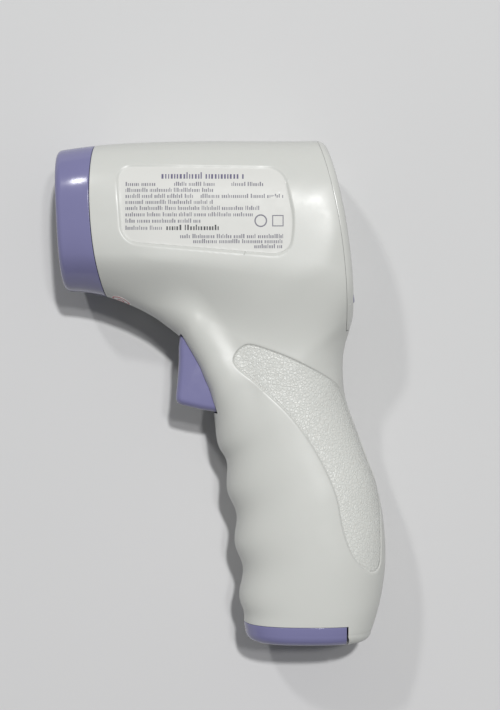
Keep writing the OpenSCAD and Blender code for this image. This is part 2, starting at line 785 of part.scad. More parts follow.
left_shell();
right_shell();
nose_ring();
rear_bezel();
battery_door();
trigger();
rating_label();
seal_sticker();
sensor_cup();
sensor_window();
sensor_barrel();
thermopile();
thermopile_pins();
sensor_board();
display_window();
lcd_glass();
backlight();
lcd_connectors();
main_board();
key_switches();
controller_chip();
memory_chip();
crystal();
buzzer();
board_sockets();
key_left();
key_mode();
key_right();
key_left_plunger();
key_mode_plunger();
key_right_plunger();
board_screws();
trigger_board();
trigger_switch();
trigger_plunger();
trigger_spring();
contact_carrier();
positive_contact();
negative_spring();
door_contact();
battery_cells();
cell_caps();
door_pin();
shell_screws();
red_lead();
black_lead();
sensor_leads();
switch_leads();
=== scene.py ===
"""The looks of a pistol-shaped infrared thermometer, lying on its right side.

Lengths are in millimetres about the mid-plane of the casing, and place() turns them into the
frame's metres. The casing's form is worked out here by the same rule as in the CAD, at a finer pitch.
"""

import math

import bmesh
import bpy
import numpy as np
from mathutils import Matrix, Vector, noise
from mathutils.bvhtree import BVHTree


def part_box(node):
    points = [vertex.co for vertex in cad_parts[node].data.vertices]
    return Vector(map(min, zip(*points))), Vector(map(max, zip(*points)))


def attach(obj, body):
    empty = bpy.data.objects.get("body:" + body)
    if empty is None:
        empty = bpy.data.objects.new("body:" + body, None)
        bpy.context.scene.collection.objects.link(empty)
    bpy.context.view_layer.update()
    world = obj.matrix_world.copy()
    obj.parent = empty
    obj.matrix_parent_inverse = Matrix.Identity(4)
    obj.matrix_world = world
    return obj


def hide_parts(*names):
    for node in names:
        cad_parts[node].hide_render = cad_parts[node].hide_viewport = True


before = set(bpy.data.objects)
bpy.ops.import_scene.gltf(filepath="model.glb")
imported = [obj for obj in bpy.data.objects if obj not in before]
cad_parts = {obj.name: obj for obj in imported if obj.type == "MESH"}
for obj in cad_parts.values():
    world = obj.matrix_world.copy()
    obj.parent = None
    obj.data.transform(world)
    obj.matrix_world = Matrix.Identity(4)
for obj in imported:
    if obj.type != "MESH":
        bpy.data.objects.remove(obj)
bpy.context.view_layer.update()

MM = 0.001
HALF = 21.0           # half thickness of the barrel
LIFT = np.array([0.0, 0.0, HALF])

# ---------------------------------------------------------------- the casing's form

# front point, back point, half thickness and squareness of each cross-section
STATIONS = np.array([
    [-48.1, 31.6, -50.3, 74.8, 18.6, 2.6],
    [-42.0, 31.2, -44.6, 75.6, 19.6, 2.7],
    [-35.4, 29.9, -38.2, 76.3, 20.3, 2.8],
    [-28.3, 27.4, -28.5, 77.0, 20.8, 2.9],
    [-21.0, 23.7, -16.0, 77.4, 21.4, 3.0],
    [-15.8, 20.0, -3.0, 77.6, 21.4, 3.0],
    [-12.2, 17.0, 10.0, 77.6, 21.4, 3.0],
    [-10.2, 13.6, 22.0, 77.6, 21.4, 3.0],
    [-8.4, 10.3, 33.0, 77.5, 21.4, 3.0],
    [-6.6, 7.0, 43.0, 75.0, 21.4, 3.1],
    [-5.2, 3.8, 47.5, 64.0, 21.4, 3.2],
    [-3.8, 0.6, 48.0, 50.0, 20.8, 3.2],
    [-2.9, -2.7, 46.8, 37.0, 20.2, 3.05],
    [-2.1, -6.2, 43.6, 27.0, 19.2, 2.8],
    [-1.7, -9.8, 39.8, 19.0, 18.1, 2.55],
    [-1.3, -13.5, 38.1, 12.5, 17.2, 2.45],
    [-0.2, -17.5, 37.9, 6.0, 16.6, 2.4],
    [1.2, -22.0, 38.6, -1.0, 16.3, 2.35],
    [2.4, -27.5, 41.2, -9.0, 16.3, 2.35],
    [3.5, -34.0, 44.8, -18.5, 16.5, 2.35],
    [4.6, -41.5, 48.2, -28.0, 16.8, 2.4],
    [5.6, -49.5, 50.5, -40.0, 17.0, 2.4],
    [6.3, -57.5, 51.0, -52.0, 17.0, 2.45],
    [6.8, -65.0, 49.6, -63.0, 16.8, 2.5],
    [7.3, -71.0, 47.4, -71.0, 16.4, 2.6],
    [7.6, -72.9, 46.6, -72.9, 16.2, 2.65],
])
LAST = len(STATIONS) - 1
WALL = 1.9
NOSE_ROUND = 2.4
BASE_ROUND = 3.2
NOSE_PITCH = 5.9      # length of the barrel's first station
NECK_HALF = 15.8      # half thickness of the neck under the barrel
EDGE = 0.2            # radius of the moulded edges at seams

JOINT_CENTRE = np.array([104.05, 62.5])
JOINT_R = 143.03
JOINT_GAP = 0.16
FACE_CENTRE = np.array([-146.4, 20.6])
FACE_R = 187.0
BEZEL_T = 2.2
BEZEL_FOOT_Y = 19.0

NOSE_ORIGIN = np.array([-49.2, 53.2])
NOSE_TURN = math.radians(182.92)
REAR_TURN = math.asin((52 - FACE_CENTRE[1]) / FACE_R)
REAR_ORIGIN = np.array([FACE_CENTRE[0] + FACE_R * math.cos(REAR_TURN), 52.0])
HINGE = np.array([36.8, -74.5])
PIVOT = np.array([-6.5, 15.0])
PULL = math.radians(4.5)
DOOR_TOP_Y = -70.3
DOOR_END_X = 38.3
SCREWS = [(-28.3, 69.2), (-25.3, 33.6), (19.5, 71.2), (13.5, 5.5), (44.2, -37.5), (43.2, -62.5)]


def catmull(a, b, c, d, u):
    return 0.5 * (
        2 * b + (c - a) * u + (2 * a - 5 * b + 4 * c - d) * u**2 + (3 * b - a - 3 * c + d) * u**3
    )


def station(t):
    """The cross-section's six numbers at each t."""
    i = np.clip(np.floor(t).astype(int), 0, LAST - 1)
    u = (t - i)[..., None]
    at = lambda k: STATIONS[np.clip(k, 0, LAST)]
    return catmull(at(i - 1), at(i), at(i + 1), at(i + 2), u)


def ramp(x):
    c = np.clip(x, 0, 1)
    return c * c * (3 - 2 * c)


def swell(y):
    """The finger swells, a cosine that fades in and out along the front of the handle."""
    wave = -0.85 * np.cos(2 * np.pi * (y + 37.8) / 16.6)
    return wave * ramp((-13 - y) / 8) * ramp((y + 71) / 6)


def soft_min(a, b, width):
    h = np.clip(0.5 + 0.5 * (b - a) / width, 0, 1)
    return b * (1 - h) + a * h - width * h * (1 - h)


def slimming(x, y):
    """How far the casing has slimmed from the barrel to the neck, 0 to 1, which fades down the handle."""
    high = 42 - 0.009 * np.maximum(0, x - 12) ** 2
    low = 27 - 15.5 * ramp((x + 20) / 45)
    return ramp((high - y) / (high - low)) * ramp((y + 22) / 24)


def skin(t, angle, inset=0.0, drop=0.0, shrink=0.0):
    """Points of the casing's skin: t runs from nose to base, angle from the back over the side."""
    s = station(t)
    front, back = s[..., 0:2], s[..., 2:4]
    across = back - front
    across = across / np.linalg.norm(across, axis=-1, keepdims=True)
    grow = (inset - swell(s[..., 1]))[..., None]
    low = np.stack([shrink + 0 * t, -drop + 0 * t], -1)
    front = front + across * grow + low
    back = back - across * (inset + 0 * t)[..., None] - low * [1, -1]
    half = s[..., 4] - inset - shrink
    power = 2 / s[..., 5]
    u = np.sign(np.cos(angle)) * np.abs(np.cos(angle)) ** power
    xy = (front + back) / 2 + u[..., None] * (back - front) / 2
    kept = ramp((t - 4) / 3) * (1 - ramp(np.linalg.norm(xy - front, axis=-1) / 16))
    share = np.maximum(0, 1 - NECK_HALF / s[..., 4]) * (1 - kept)
    side = np.abs(np.sin(angle)) ** power * half * (1 - share * slimming(xy[..., 0], xy[..., 1]))
    z = np.sign(np.sin(angle)) * soft_min(side, HALF - inset - shrink + 0 * t, 0.5)
    return np.concatenate([xy, z[..., None]], -1)


def solve_t(test, low, high, angle):
    """The t at each angle where test(points) turns from negative to positive."""
    a = np.full(angle.shape, low, float)
    b = np.full(angle.shape, high, float)
    for _ in range(40):
        m = (a + b) / 2
        up = test(skin(m, angle)) > 0
        b = np.where(up, m, b)
        a = np.where(up, a, m)
    return (a + b) / 2


def joint_depth(p, radius=JOINT_R):
    return radius - np.linalg.norm(p[..., :2] - JOINT_CENTRE, axis=-1)


def face_depth(p, radius):
    return radius - np.linalg.norm(p[..., :2] - FACE_CENTRE, axis=-1)


# ---------------------------------------------------------------- mesh helpers


def place(points):
    return (np.asarray(points, float) + LIFT) * MM


def rear(points):
    """Display-end places, with x out of the face and y up it, to casing places."""
    p = np.asarray(points, float)
    c, s = math.cos(REAR_TURN), math.sin(REAR_TURN)
    x = REAR_ORIGIN[0] + p[..., 0] * c - p[..., 1] * s
    y = REAR_ORIGIN[1] + p[..., 0] * s + p[..., 1] * c
    return np.stack([x, y, p[..., 2]], -1)


def smooth(obj, degrees=32):
    mesh = obj.data
    mesh.shade_smooth()
    mesh.set_sharp_from_angle(angle=math.radians(degrees))


def new_object(name, verts, faces, material=None, tidy=True):
    """An object from points in casing millimetres."""
    mesh = bpy.data.meshes.new(name)
    mesh.from_pydata(place(verts).tolist(), [], [list(map(int, f)) for f in faces])
    obj = bpy.data.objects.new(name, mesh)
    bpy.context.scene.collection.objects.link(obj)
    if tidy:
        bm = bmesh.new()
        bm.from_mesh(mesh)
        bmesh.ops.remove_doubles(bm, verts=bm.verts, dist=1e-7)
        bmesh.ops.recalc_face_normals(bm, faces=bm.faces)
        bm.to_mesh(mesh)
        bm.free()
    if material:
        mesh.materials.append(material)
    return obj


def grid_faces(rows, cols, start=0, wrap_cols=False, wrap_rows=False):
    r = np.arange(rows if wrap_rows else rows - 1)[:, None]
    c = np.arange(cols if wrap_cols else cols - 1)[None, :]
    a = start + r * cols + c
    b = start + r * cols + (c + 1) % cols
    d = start + ((r + 1) % rows) * cols + c
    e = start + ((r + 1) % rows) * cols + (c + 1) % cols
    return np.stack([a, b, e, d], -1).reshape(-1, 4).tolist()


def loft(name, rings, material=None, closed_loop=False):
    """Rings of equal counts joined into a tube: capped at its ends, or closed on itself."""
    rings = np.asarray(rings)
    rows, cols = rings.shape[:2]
    faces = grid_faces(rows, cols, wrap_cols=True, wrap_rows=closed_loop)
    if not closed_loop:
        faces.append(list(range(cols)))
        faces.append([(rows - 1) * cols + i for i in range(cols)])
    return new_object(name, rings.reshape(-1, 3), faces, material)


def prism(name, outline, z0, z1):
    ring = lambda z: [[x, y, z] for x, y in outline]
    return loft(name, [ring(z0), ring(z1)])


def block(name, low, high, frame_of=lambda p: p):
    corners = [(low[0], low[1]), (high[0], low[1]), (high[0], high[1]), (low[0], high[1])]
    rings = [[[x, y, z] for x, y in corners] for z in (low[2], high[2])]
    return loft(name, frame_of(np.array(rings)))


def disc(centre, radius, z, count=96):
    a = np.linspace(0, 2 * np.pi, count, endpoint=False)
    return np.stack([centre[0] + radius * np.cos(a), centre[1] + radius * np.sin(a), z + 0 * a], -1)


def rod(name, centre, radius, z0, z1, count=96):
    return loft(name, [disc(centre, radius, z0, count), disc(centre, radius, z1, count)])


def combine(obj, tools, operation="DIFFERENCE"):
    """Applies booleans to obj, and removes the tools."""
    for tool in tools:
        mod = obj.modifiers.new("cut", "BOOLEAN")
        mod.operation = operation
        mod.solver = "MANIFOLD"
        mod.object = tool
    bpy.context.view_layer.update()
    mesh = bpy.data.meshes.new_from_object(obj.evaluated_get(bpy.context.evaluated_depsgraph_get()))
    old = obj.data
    obj.modifiers.clear()
    obj.data = mesh
    bpy.data.meshes.remove(old)
    for tool in tools:
        bpy.data.objects.remove(tool)
    return obj


def paint(obj, *materials):
    obj.data.materials.clear()
    for m in materials:
        obj.data.materials.append(m)


# ---------------------------------------------------------------- outlines


def loop_curve(points, steps):
    p = np.array(points, float)
    n = len(p)
    return np.array([
        catmull(p[i - 1], p[i], p[(i + 1) % n], p[(i + 2) % n], k / steps)
        for i in range(n) for k in range(steps)
    ])


def outline_distance(xy, outline):
    """Signed distance of each xy from a closed outline, negative inside."""
    best = np.full(len(xy), 1e9)
    inside = np.zeros(len(xy), bool)
    for a, b in zip(outline, np.roll(outline, -1, axis=0)):
        ab = b - a
        k = np.clip(((xy - a) @ ab) / (ab @ ab), 0, 1)
        best = np.minimum(best, np.linalg.norm(xy - a - k[:, None] * ab, axis=1))
        if a[1] != b[1]:
            crosses = (a[1] > xy[:, 1]) != (b[1] > xy[:, 1])
            x_at = a[0] + (xy[:, 1] - a[1]) * ab[0] / ab[1]
            inside ^= crosses & (xy[:, 0] < x_at)
    return np.where(inside, -best, best)


def rounded_distance(xy, corners, radius):
    """Signed distance from a convex outline (clockwise) with rounded corners, negative inside."""
    c = np.array(corners, float)
    sides = []
    for a, b in zip(c, np.roll(c, -1, axis=0)):
        d = (b - a) / np.linalg.norm(b - a)
        sides.append((xy - a) @ np.array([-d[1], d[0]]) + radius)
    sides = np.array(sides)
    outer = np.sqrt((np.maximum(sides, 0) ** 2).sum(0))
    return outer + np.minimum(sides.max(0), 0) - radius


LABEL_CORNERS = [(-31.2, 68.9), (19.4, 68.3), (23.6, 47.6), (20.6, 40.9), (-29.4, 45.0)]
LABEL_R = 5.0
GRIP = loop_curve([
    (4.0, 9.6), (7.6, 15.0), (15.0, 13.5), (25.5, 9.1), (36.2, 2.4), (40.6, -7.6), (45.6, -18.6),
    (48.9, -30), (49.4, -43), (48.9, -52.4), (45.2, -54.2), (40.0, -49.0), (36.9, -41), (34.6, -30),
    (28.8, -17.6), (20.9, -6.6), (11.6, 2.2),
], 8)
PANEL_DEPTH = 0.4


TRIGGER_OUTLINE = loop_curve([
    (-12.3, 17.3), (-12.75, 14.5), (-12.75, 10.8), (-12.95, 6.8), (-13.3, 2.6), (-13.65, -0.9),
    (-13.4, -2.3), (-12.4, -3.3), (-10.0, -4.0), (-6.5, -4.8), (-3.0, -5.4), (-0.2, -5.7), (1.0, -4.9),
    (1.2, -2.6), (0.8, 3.0), (-1.2, 9.0), (-3.2, 13.8), (-4.9, 17.0), (-8.4, 17.7), (-11.4, 17.8),
], 6)


def shifted_outline(outline, inset):
    """An anticlockwise outline drawn in by inset, without loops where it bends tightly."""
    along = np.roll(outline, -1, axis=0) - np.roll(outline, 1, axis=0)
    along /= np.linalg.norm(along, axis=1, keepdims=True)
    moved = outline + np.column_stack([-along[:, 1], along[:, 0]]) * inset
    for _ in range(12):
        if inset <= 0:
            break
        d = -outline_distance(moved, outline)
        e = 0.01
        gx = -outline_distance(moved + [e, 0], outline) - d
        gy = -outline_distance(moved + [0, e], outline) - d
        uphill = np.column_stack([gx, gy]) / e
        moved = moved + uphill * np.clip(inset - d, -0.3, 0.3)[:, None] * 0.7
    return moved


def trigger_slot(turn):
    """The trigger's outline with its running gap, turned about its pivot."""
    o = shifted_outline(TRIGGER_OUTLINE, -0.4) - PIVOT
    c, s = math.cos(turn), math.sin(turn)
    return np.column_stack([o[:, 0] * c - o[:, 1] * s, o[:, 0] * s + o[:, 1] * c]) + PIVOT


def label_distance(xy):
    return rounded_distance(xy, LABEL_CORNERS, LABEL_R)


# ---------------------------------------------------------------- materials


class Nodes:
    """A short way to write node trees."""

    def __init__(self, name):
        self.material = bpy.data.materials.new(name)
        self.material.use_nodes = True
        self.tree = self.material.node_tree
        self.shader = self.tree.nodes["Principled BSDF"]
        self.place = self.add("ShaderNodeTexCoord").outputs["Object"]

    def add(self, kind, inputs=None, **settings):
        node = self.tree.nodes.new(kind)
        for key, value in settings.items():
            setattr(node, key, value)
        for key, value in (inputs or {}).items():
            self.set(node.inputs[key], value)
        return node

    def set(self, socket, value):
        if isinstance(value, bpy.types.NodeSocket):
            self.tree.links.new(value, socket)
        else:
            socket.default_value = value

    def noise(self, scale, detail=3.0, roughness=0.5, stretch=None):
        place = self.place
        if stretch:
            place = self.add("ShaderNodeMapping", {"Vector": place, "Scale": stretch}).outputs["Vector"]
        inputs = {"Vector": place, "Scale": scale, "Detail": detail, "Roughness": roughness}
        return self.add("ShaderNodeTexNoise", inputs).outputs["Fac"]

    def cells(self, scale, feature="F1", smoothness=0.4):
        inputs = {"Vector": self.place, "Scale": scale}
        node = self.add("ShaderNodeTexVoronoi", feature=feature)
        for key, value in inputs.items():
            self.set(node.inputs[key], value)
        if feature == "SMOOTH_F1":
            node.inputs["Smoothness"].default_value = smoothness
        return node.outputs["Distance"]

    def span(self, value, from_low, from_high, to_low, to_high):
        inputs = {
            "Value": value, "From Min": from_low, "From Max": from_high,
            "To Min": to_low, "To Max": to_high,
        }
        return self.add("ShaderNodeMapRange", inputs).outputs["Result"]

    def math(self, operation, a, b):
        node = self.add("ShaderNodeMath", operation=operation)
        self.set(node.inputs[0], a)
        self.set(node.inputs[1], b)
        return node.outputs["Value"]

    def mix(self, factor, a, b):
        node = self.add("ShaderNodeMix", data_type="RGBA")
        self.set(node.inputs["Factor"], factor)
        self.set(node.inputs["A"], (*a, 1.0) if isinstance(a, tuple) else a)
        self.set(node.inputs["B"], (*b, 1.0) if isinstance(b, tuple) else b)
        return node.outputs["Result"]

    def bump(self, height, strength, distance_mm, normal=None):
        inputs = {"Height": height, "Strength": strength, "Distance": distance_mm * MM}
        if normal is not None:
            inputs["Normal"] = normal
        return self.add("ShaderNodeBump", inputs).outputs["Normal"]

    def finish(self, color, roughness, normal=None, **constants):
        self.set(self.shader.inputs["Base Color"], color if not isinstance(color, tuple) else (*color, 1.0))
        self.set(self.shader.inputs["Roughness"], roughness)
        if normal is not None:
            self.set(self.shader.inputs["Normal"], normal)
        for key, value in constants.items():
            self.shader.inputs[key.replace("_", " ")].default_value = value
        return self.material


def moulded(name, color, rough, grain=0.02, tone=0.03, **constants):
    """Moulded plastic: a faint orange peel, a finer grain and a slight unevenness of tone."""
    n = Nodes(name)
    dark = tuple(c * (1 - tone) for c in color)
    light = tuple(min(1, c * (1 + tone)) for c in color)
    tint = n.mix(n.noise(60, 4), dark, light)
    gloss = n.span(n.noise(420, 4), 0.3, 0.7, rough * 0.85, rough * 1.15)
    peel = n.bump(n.noise(700, 2), 0.12, grain * 2)
    fine = n.bump(n.noise(6000, 2), 0.25, grain, peel)
    return n.finish(tint, gloss, fine, **constants)


def casing_plastic(name, color):
    """White casing plastic. The attributes panel and label are millimetres inside each recess.

    The panel has a leather grain with painted shade darkening the colour in its creases, and both recesses
    have a crisp step at their outline.
    """
    n = Nodes(name)
    inside = n.add("ShaderNodeAttribute", attribute_name="panel").outputs["Fac"]
    sheet = n.add("ShaderNodeAttribute", attribute_name="label").outputs["Fac"]
    panel = n.span(inside, 0.1, 0.5, 0.0, 1.0)
    tint = n.mix(n.noise(40, 4), tuple(c * 0.975 for c in color), tuple(min(1, c * 1.015) for c in color))
    pebble = n.math("SUBTRACT", 1.0, n.cells(1500, "SMOOTH_F1", 0.35))
    crease = n.span(n.cells(1000, "DISTANCE_TO_EDGE"), 0.0, 0.16, 0.0, 1.0)
    wrinkle = n.noise(2200, 4, 0.6)
    leather = n.math("ADD", n.math("MULTIPLY", pebble, 0.5), n.math("MULTIPLY", crease, 0.4))
    leather = n.math("ADD", leather, n.math("MULTIPLY", wrinkle, 0.5))
    leather = n.math("MULTIPLY", leather, panel)
    tint = n.mix(panel, tint, tuple(c * 1.09 for c in color))
    # painted shade: the colour is darkened in the creases of the leather grain, on top of their bump
    shade = n.math("MULTIPLY", n.math("SUBTRACT", 1.0, crease), n.math("MULTIPLY", panel, 0.14))
    tint = n.mix(shade, tint, tuple(c * 0.7 for c in color))
    gloss = n.span(n.noise(300, 4), 0.3, 0.7, 0.30, 0.36)
    gloss = n.math("SUBTRACT", gloss, n.math("MULTIPLY", panel, 0.06))
    step = n.math("SUBTRACT", n.span(inside, 0.45, 0.95, 0.0, 0.75), n.span(inside, 0.0, 0.45, 0.0, 1.0))
    rim = n.math("SUBTRACT", n.span(sheet, 0.45, 0.95, 0.0, 0.08), n.span(sheet, 0.0, 0.45, 0.0, 0.14))
    step = n.math("ADD", step, rim)
    edge = n.bump(step, 1.0, 0.26)
    grain = n.bump(leather, 1.0, 0.15, edge)
    peel = n.bump(n.noise(500, 2), 0.10, 0.03, grain)
    fine = n.bump(n.noise(7000, 2), 0.2, 0.012, peel)
    return n.finish(tint, gloss, fine, IOR=1.5, Specular_IOR_Level=0.3,
                    Subsurface_Weight=0.04, Subsurface_Scale=0.002, Subsurface_Radius=(0.6, 0.5, 0.45))


def film(name, color, rough=0.42):
    n = Nodes(name)
    tint = n.mix(n.noise(900, 3), tuple(c * 0.985 for c in color), color)
    gloss = n.span(n.noise(350, 3), 0.3, 0.7, rough * 0.9, rough * 1.1)
    return n.finish(tint, gloss, n.bump(n.noise(1600, 2), 0.1, 0.02), Specular_IOR_Level=0.25)


def ink(name, color):
    n = Nodes(name)
    tint = n.mix(n.noise(5000, 2), tuple(c * 0.85 for c in color), tuple(min(1, c * 1.2) for c in color))
    return n.finish(tint, n.span(n.noise(2500, 2), 0.3, 0.7, 0.45, 0.6))


def metal(name, color, rough, stretch=(1, 1, 1), scale=2500):
    """Plated or turned metal, with its fine lines along one direction."""
    n = Nodes(name)
    lines = n.noise(scale, 3, 0.6, stretch)
    tint = n.mix(lines, tuple(c * 0.85 for c in color), color)
    gloss = n.span(lines, 0.3, 0.7, rough * 0.7, rough * 1.3)
    return n.finish(tint, gloss, n.bump(lines, 0.2, 0.01), Metallic=1.0)


def board_green(name):
    """Solder mask with faint raised copper runs under it."""
    n = Nodes(name)
    runs = n.span(n.cells(420, "DISTANCE_TO_EDGE"), 0.02, 0.05, 1.0, 0.0)
    tint = n.mix(runs, (0.012, 0.105, 0.045), (0.03, 0.19, 0.08))
    return n.finish(tint, 0.3, n.bump(runs, 0.5, 0.03), Coat_Weight=0.3, Coat_Roughness=0.1)


def rubber_stripes(name):
    n = Nodes(name)
    stripes = n.add("ShaderNodeTexWave", {"Vector": n.place, "Scale": 900.0}, bands_direction="Z")
    wave = stripes.outputs["Fac"]
    tint = n.mix(wave, (0.55, 0.16, 0.22), (0.12, 0.05, 0.06))
    return n.finish(tint, 0.6, n.bump(wave, 0.2, 0.02))


def clear(name, color, rough, alpha_tint=1.0):
    n = Nodes(name)
    smear = n.span(n.noise(160, 4), 0.35, 0.75, rough, rough * 2.2)
    return n.finish(color, smear, None, Transmission_Weight=alpha_tint, IOR=1.49)


def wrap_print(name):
    """Plain shrink wrap of a cell: a dark body, a light band and a fine crinkle."""
    n = Nodes(name)
    split = n.add("ShaderNodeSeparateXYZ", {"Vector": n.place}).outputs["Y"]
    band = n.span(split, -0.0345, -0.0343, 0.0, 1.0)
    tint = n.mix(band, (0.035, 0.06, 0.10), (0.62, 0.50, 0.22))
    gloss = n.span(n.noise(800, 3), 0.3, 0.7, 0.2, 0.32)
    return n.finish(tint, gloss, n.bump(n.noise(1400, 3), 0.15, 0.03))


WHITE = (0.585, 0.591, 0.560)
VIOLET = (0.194, 0.190, 0.345)
white_plastic = casing_plastic("white_plastic", WHITE)
bezel_plastic = moulded("bezel_plastic", WHITE, 0.24, 0.012, 0.015, IOR=1.5)
violet_plastic = moulded("violet_plastic", VIOLET, 0.17, 0.008, 0.03, IOR=1.5)
dark_plastic = moulded("dark_plastic", (0.022, 0.022, 0.025), 0.42, 0.03, 0.1)
milky_plastic = moulded("milky_plastic", (0.74, 0.72, 0.66), 0.45, 0.02, 0.03)
label_film = film("label_film", (0.645, 0.645, 0.615))
label_ink = ink("label_ink", (0.16, 0.155, 0.19))
label_black = ink("label_black", (0.03, 0.03, 0.035))
label_violet = ink("label_violet", (0.10, 0.09, 0.17))
seal_film = film("seal_film", (0.86, 0.86, 0.85))
seal_ink = ink("seal_ink", (0.55, 0.05, 0.06))
steel = metal("steel", (0.62, 0.62, 0.63), 0.25)
brass = metal("brass", (0.72, 0.52, 0.22), 0.28, (1, 20, 20))
green_board = board_green("circuit_board")
zebra = rubber_stripes("connector_rubber")
window_clear = clear("window_clear", (0.90, 0.92, 0.92), 0.04)
filter_glass = moulded("filter_glass", (0.06, 0.045, 0.055), 0.08, 0.004, 0.1, IOR=1.8)
lcd_cell = film("lcd_cell", (0.33, 0.37, 0.32), 0.3)
lcd_segment = ink("lcd_segment", (0.255, 0.285, 0.25))
cell_wrap = wrap_print("cell_wrap")
red_vinyl = moulded("red_vinyl", (0.50, 0.02, 0.02), 0.45, 0.01, 0.05)
black_vinyl = moulded("black_vinyl", (0.02, 0.02, 0.02), 0.45, 0.01, 0.05)
white_vinyl = moulded("white_vinyl", (0.75, 0.75, 0.73), 0.45, 0.01, 0.03)

CAD_FINISH = {
    "sensor_cup": dark_plastic, "sensor_window": filter_glass, "sensor_barrel": brass,
    "thermopile": steel, "thermopile_pins": steel, "sensor_board": green_board,
    "display_window": window_clear, "lcd_glass": lcd_cell, "backlight": milky_plastic,
    "lcd_connectors": zebra, "main_board": green_board, "key_switches": dark_plastic,
    "controller_chip": dark_plastic, "memory_chip": dark_plastic, "crystal": steel,
    "buzzer": dark_plastic, "board_sockets": milky_plastic, "board_screws": steel,
    "key_left_plunger": dark_plastic, "key_mode_plunger": dark_plastic,
    "key_right_plunger": dark_plastic, "trigger_board": green_board,
    "trigger_switch": dark_plastic, "trigger_plunger": dark_plastic, "trigger_spring": steel,
    "contact_carrier": dark_plastic, "positive_contact": steel, "negative_spring": steel,
    "door_contact": steel, "battery_cells": cell_wrap, "cell_caps": steel, "door_pin": steel,
    "shell_screws": steel, "red_lead": red_vinyl, "black_lead": black_vinyl,
    "sensor_leads": white_vinyl, "switch_leads": white_vinyl,
}
for node, material in CAD_FINISH.items():
    paint(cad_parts[node], material)

# ---------------------------------------------------------------- casing halves

FINE = np.linspace(0, np.pi, 721)
EDGE_STEPS = np.array([0, 0.02, 0.06, 0.12, EDGE])


def edge_inset(d):
    """How far a rounded edge lies inside the skin at distance d from the seam."""
    k = np.clip(1 - d / EDGE, 0, 1)
    return EDGE * (1 - np.sqrt(1 - k * k))


def seam_start(points, angles):
    """For each row, the angle and the run along it at which the display seam lets the casing start."""
    keep = np.maximum(face_depth(points, FACE_R - BEZEL_T), BEZEL_FOOT_Y - points[..., 1])
    steps = np.linalg.norm(np.diff(points, axis=1), axis=-1)
    run = np.concatenate([np.zeros((len(points), 1)), np.cumsum(steps, axis=1)], axis=1)
    each = np.arange(len(points))
    i = np.argmax(keep >= 0, axis=1)
    j = np.maximum(i - 1, 0)
    k = np.where(i > 0, keep[each, j] / np.where(i > 0, keep[each, j] - keep[each, i], 1), 0)
    start = angles[j] + (angles[i] - angles[j]) * k
    return start, run[each, j] + (run[each, i] - run[each, j]) * k, run


def row_shares(first, rows):
    """Places of the rows, 0 to 1, closer together where the display seam runs along them."""
    share = np.linspace(0, 1, 4000)
    t = first[::4] + (LAST - first[::4]) * share[:, None]
    run = seam_start(skin(t, FINE[::4] + 0 * t), FINE[::4])[1]
    pace = np.maximum(np.diff(share) * rows, np.abs(np.diff(run)) / 0.4)
    total = np.concatenate([[0], np.cumsum(pace)])
    return np.interp(np.linspace(0, total[-1], int(total[-1])), total, share)


def half_grid(rows=400, cols=168):
    """The skin of one half as rows of points from the nose seam to the base.

    Each row starts at the mid-plane or at the display bezel's seam, and ends at the front of the
    mid-plane. Returns t, angle, shrink and drop of each point, and its distance from the seams.
    """
    seam = solve_t(joint_depth, 0.3, 4.5, FINE)
    first = seam[None, :] + EDGE_STEPS[:, None] / NOSE_PITCH
    share = row_shares(first[-1], rows)[1:, None]
    rest = first[-1] + (LAST - first[-1]) * share
    turn = np.radians(np.linspace(0, 90, 12)[1:])[:, None]
    t = np.concatenate([first, rest, np.full((len(turn), len(FINE)), float(LAST))])
    plain = np.zeros((len(first) + len(rest), 1))
    arc = np.concatenate([plain, turn])
    row_d = np.concatenate([EDGE_STEPS, np.full(len(rest) + len(turn), 9.0)])
    points = skin(t, FINE + 0 * t, 0.0, BASE_ROUND * np.sin(arc), BASE_ROUND * (1 - np.cos(arc)))
    starts, s_starts, runs = seam_start(points, FINE)
    out_t, out_a, d0, d1 = [], [], [], []
    for start, s0, run, tt in zip(starts, s_starts, runs, t):
        s = np.concatenate([
            s0 + EDGE_STEPS,
            np.linspace(s0 + EDGE, run[-1] - EDGE, cols)[1:-1],
            run[-1] - EDGE_STEPS[::-1],
        ])
        a = np.interp(s, run, FINE)
        a[0], a[-1] = start, np.pi
        out_a.append(a)
        out_t.append(np.interp(a, FINE, tt))
        d0.append(s - s0)
        d1.append(run[-1] - s)
    return np.array(out_t), np.array(out_a), arc, row_d[:, None], np.array(d0), np.array(d1)


def surface_normals(p):
    n = np.cross(np.gradient(p, axis=0), np.gradient(p, axis=1))
    n /= np.maximum(np.linalg.norm(n, axis=-1, keepdims=True), 1e-12)
    return n if n[..., 2].mean() > 0 else -n


def leather(points):
    """The coarse part of the grip's grain, in millimetres."""
    return np.array([noise.noise(Vector(p) * 0.85) for p in points]) * 0.05


GRID = half_grid()


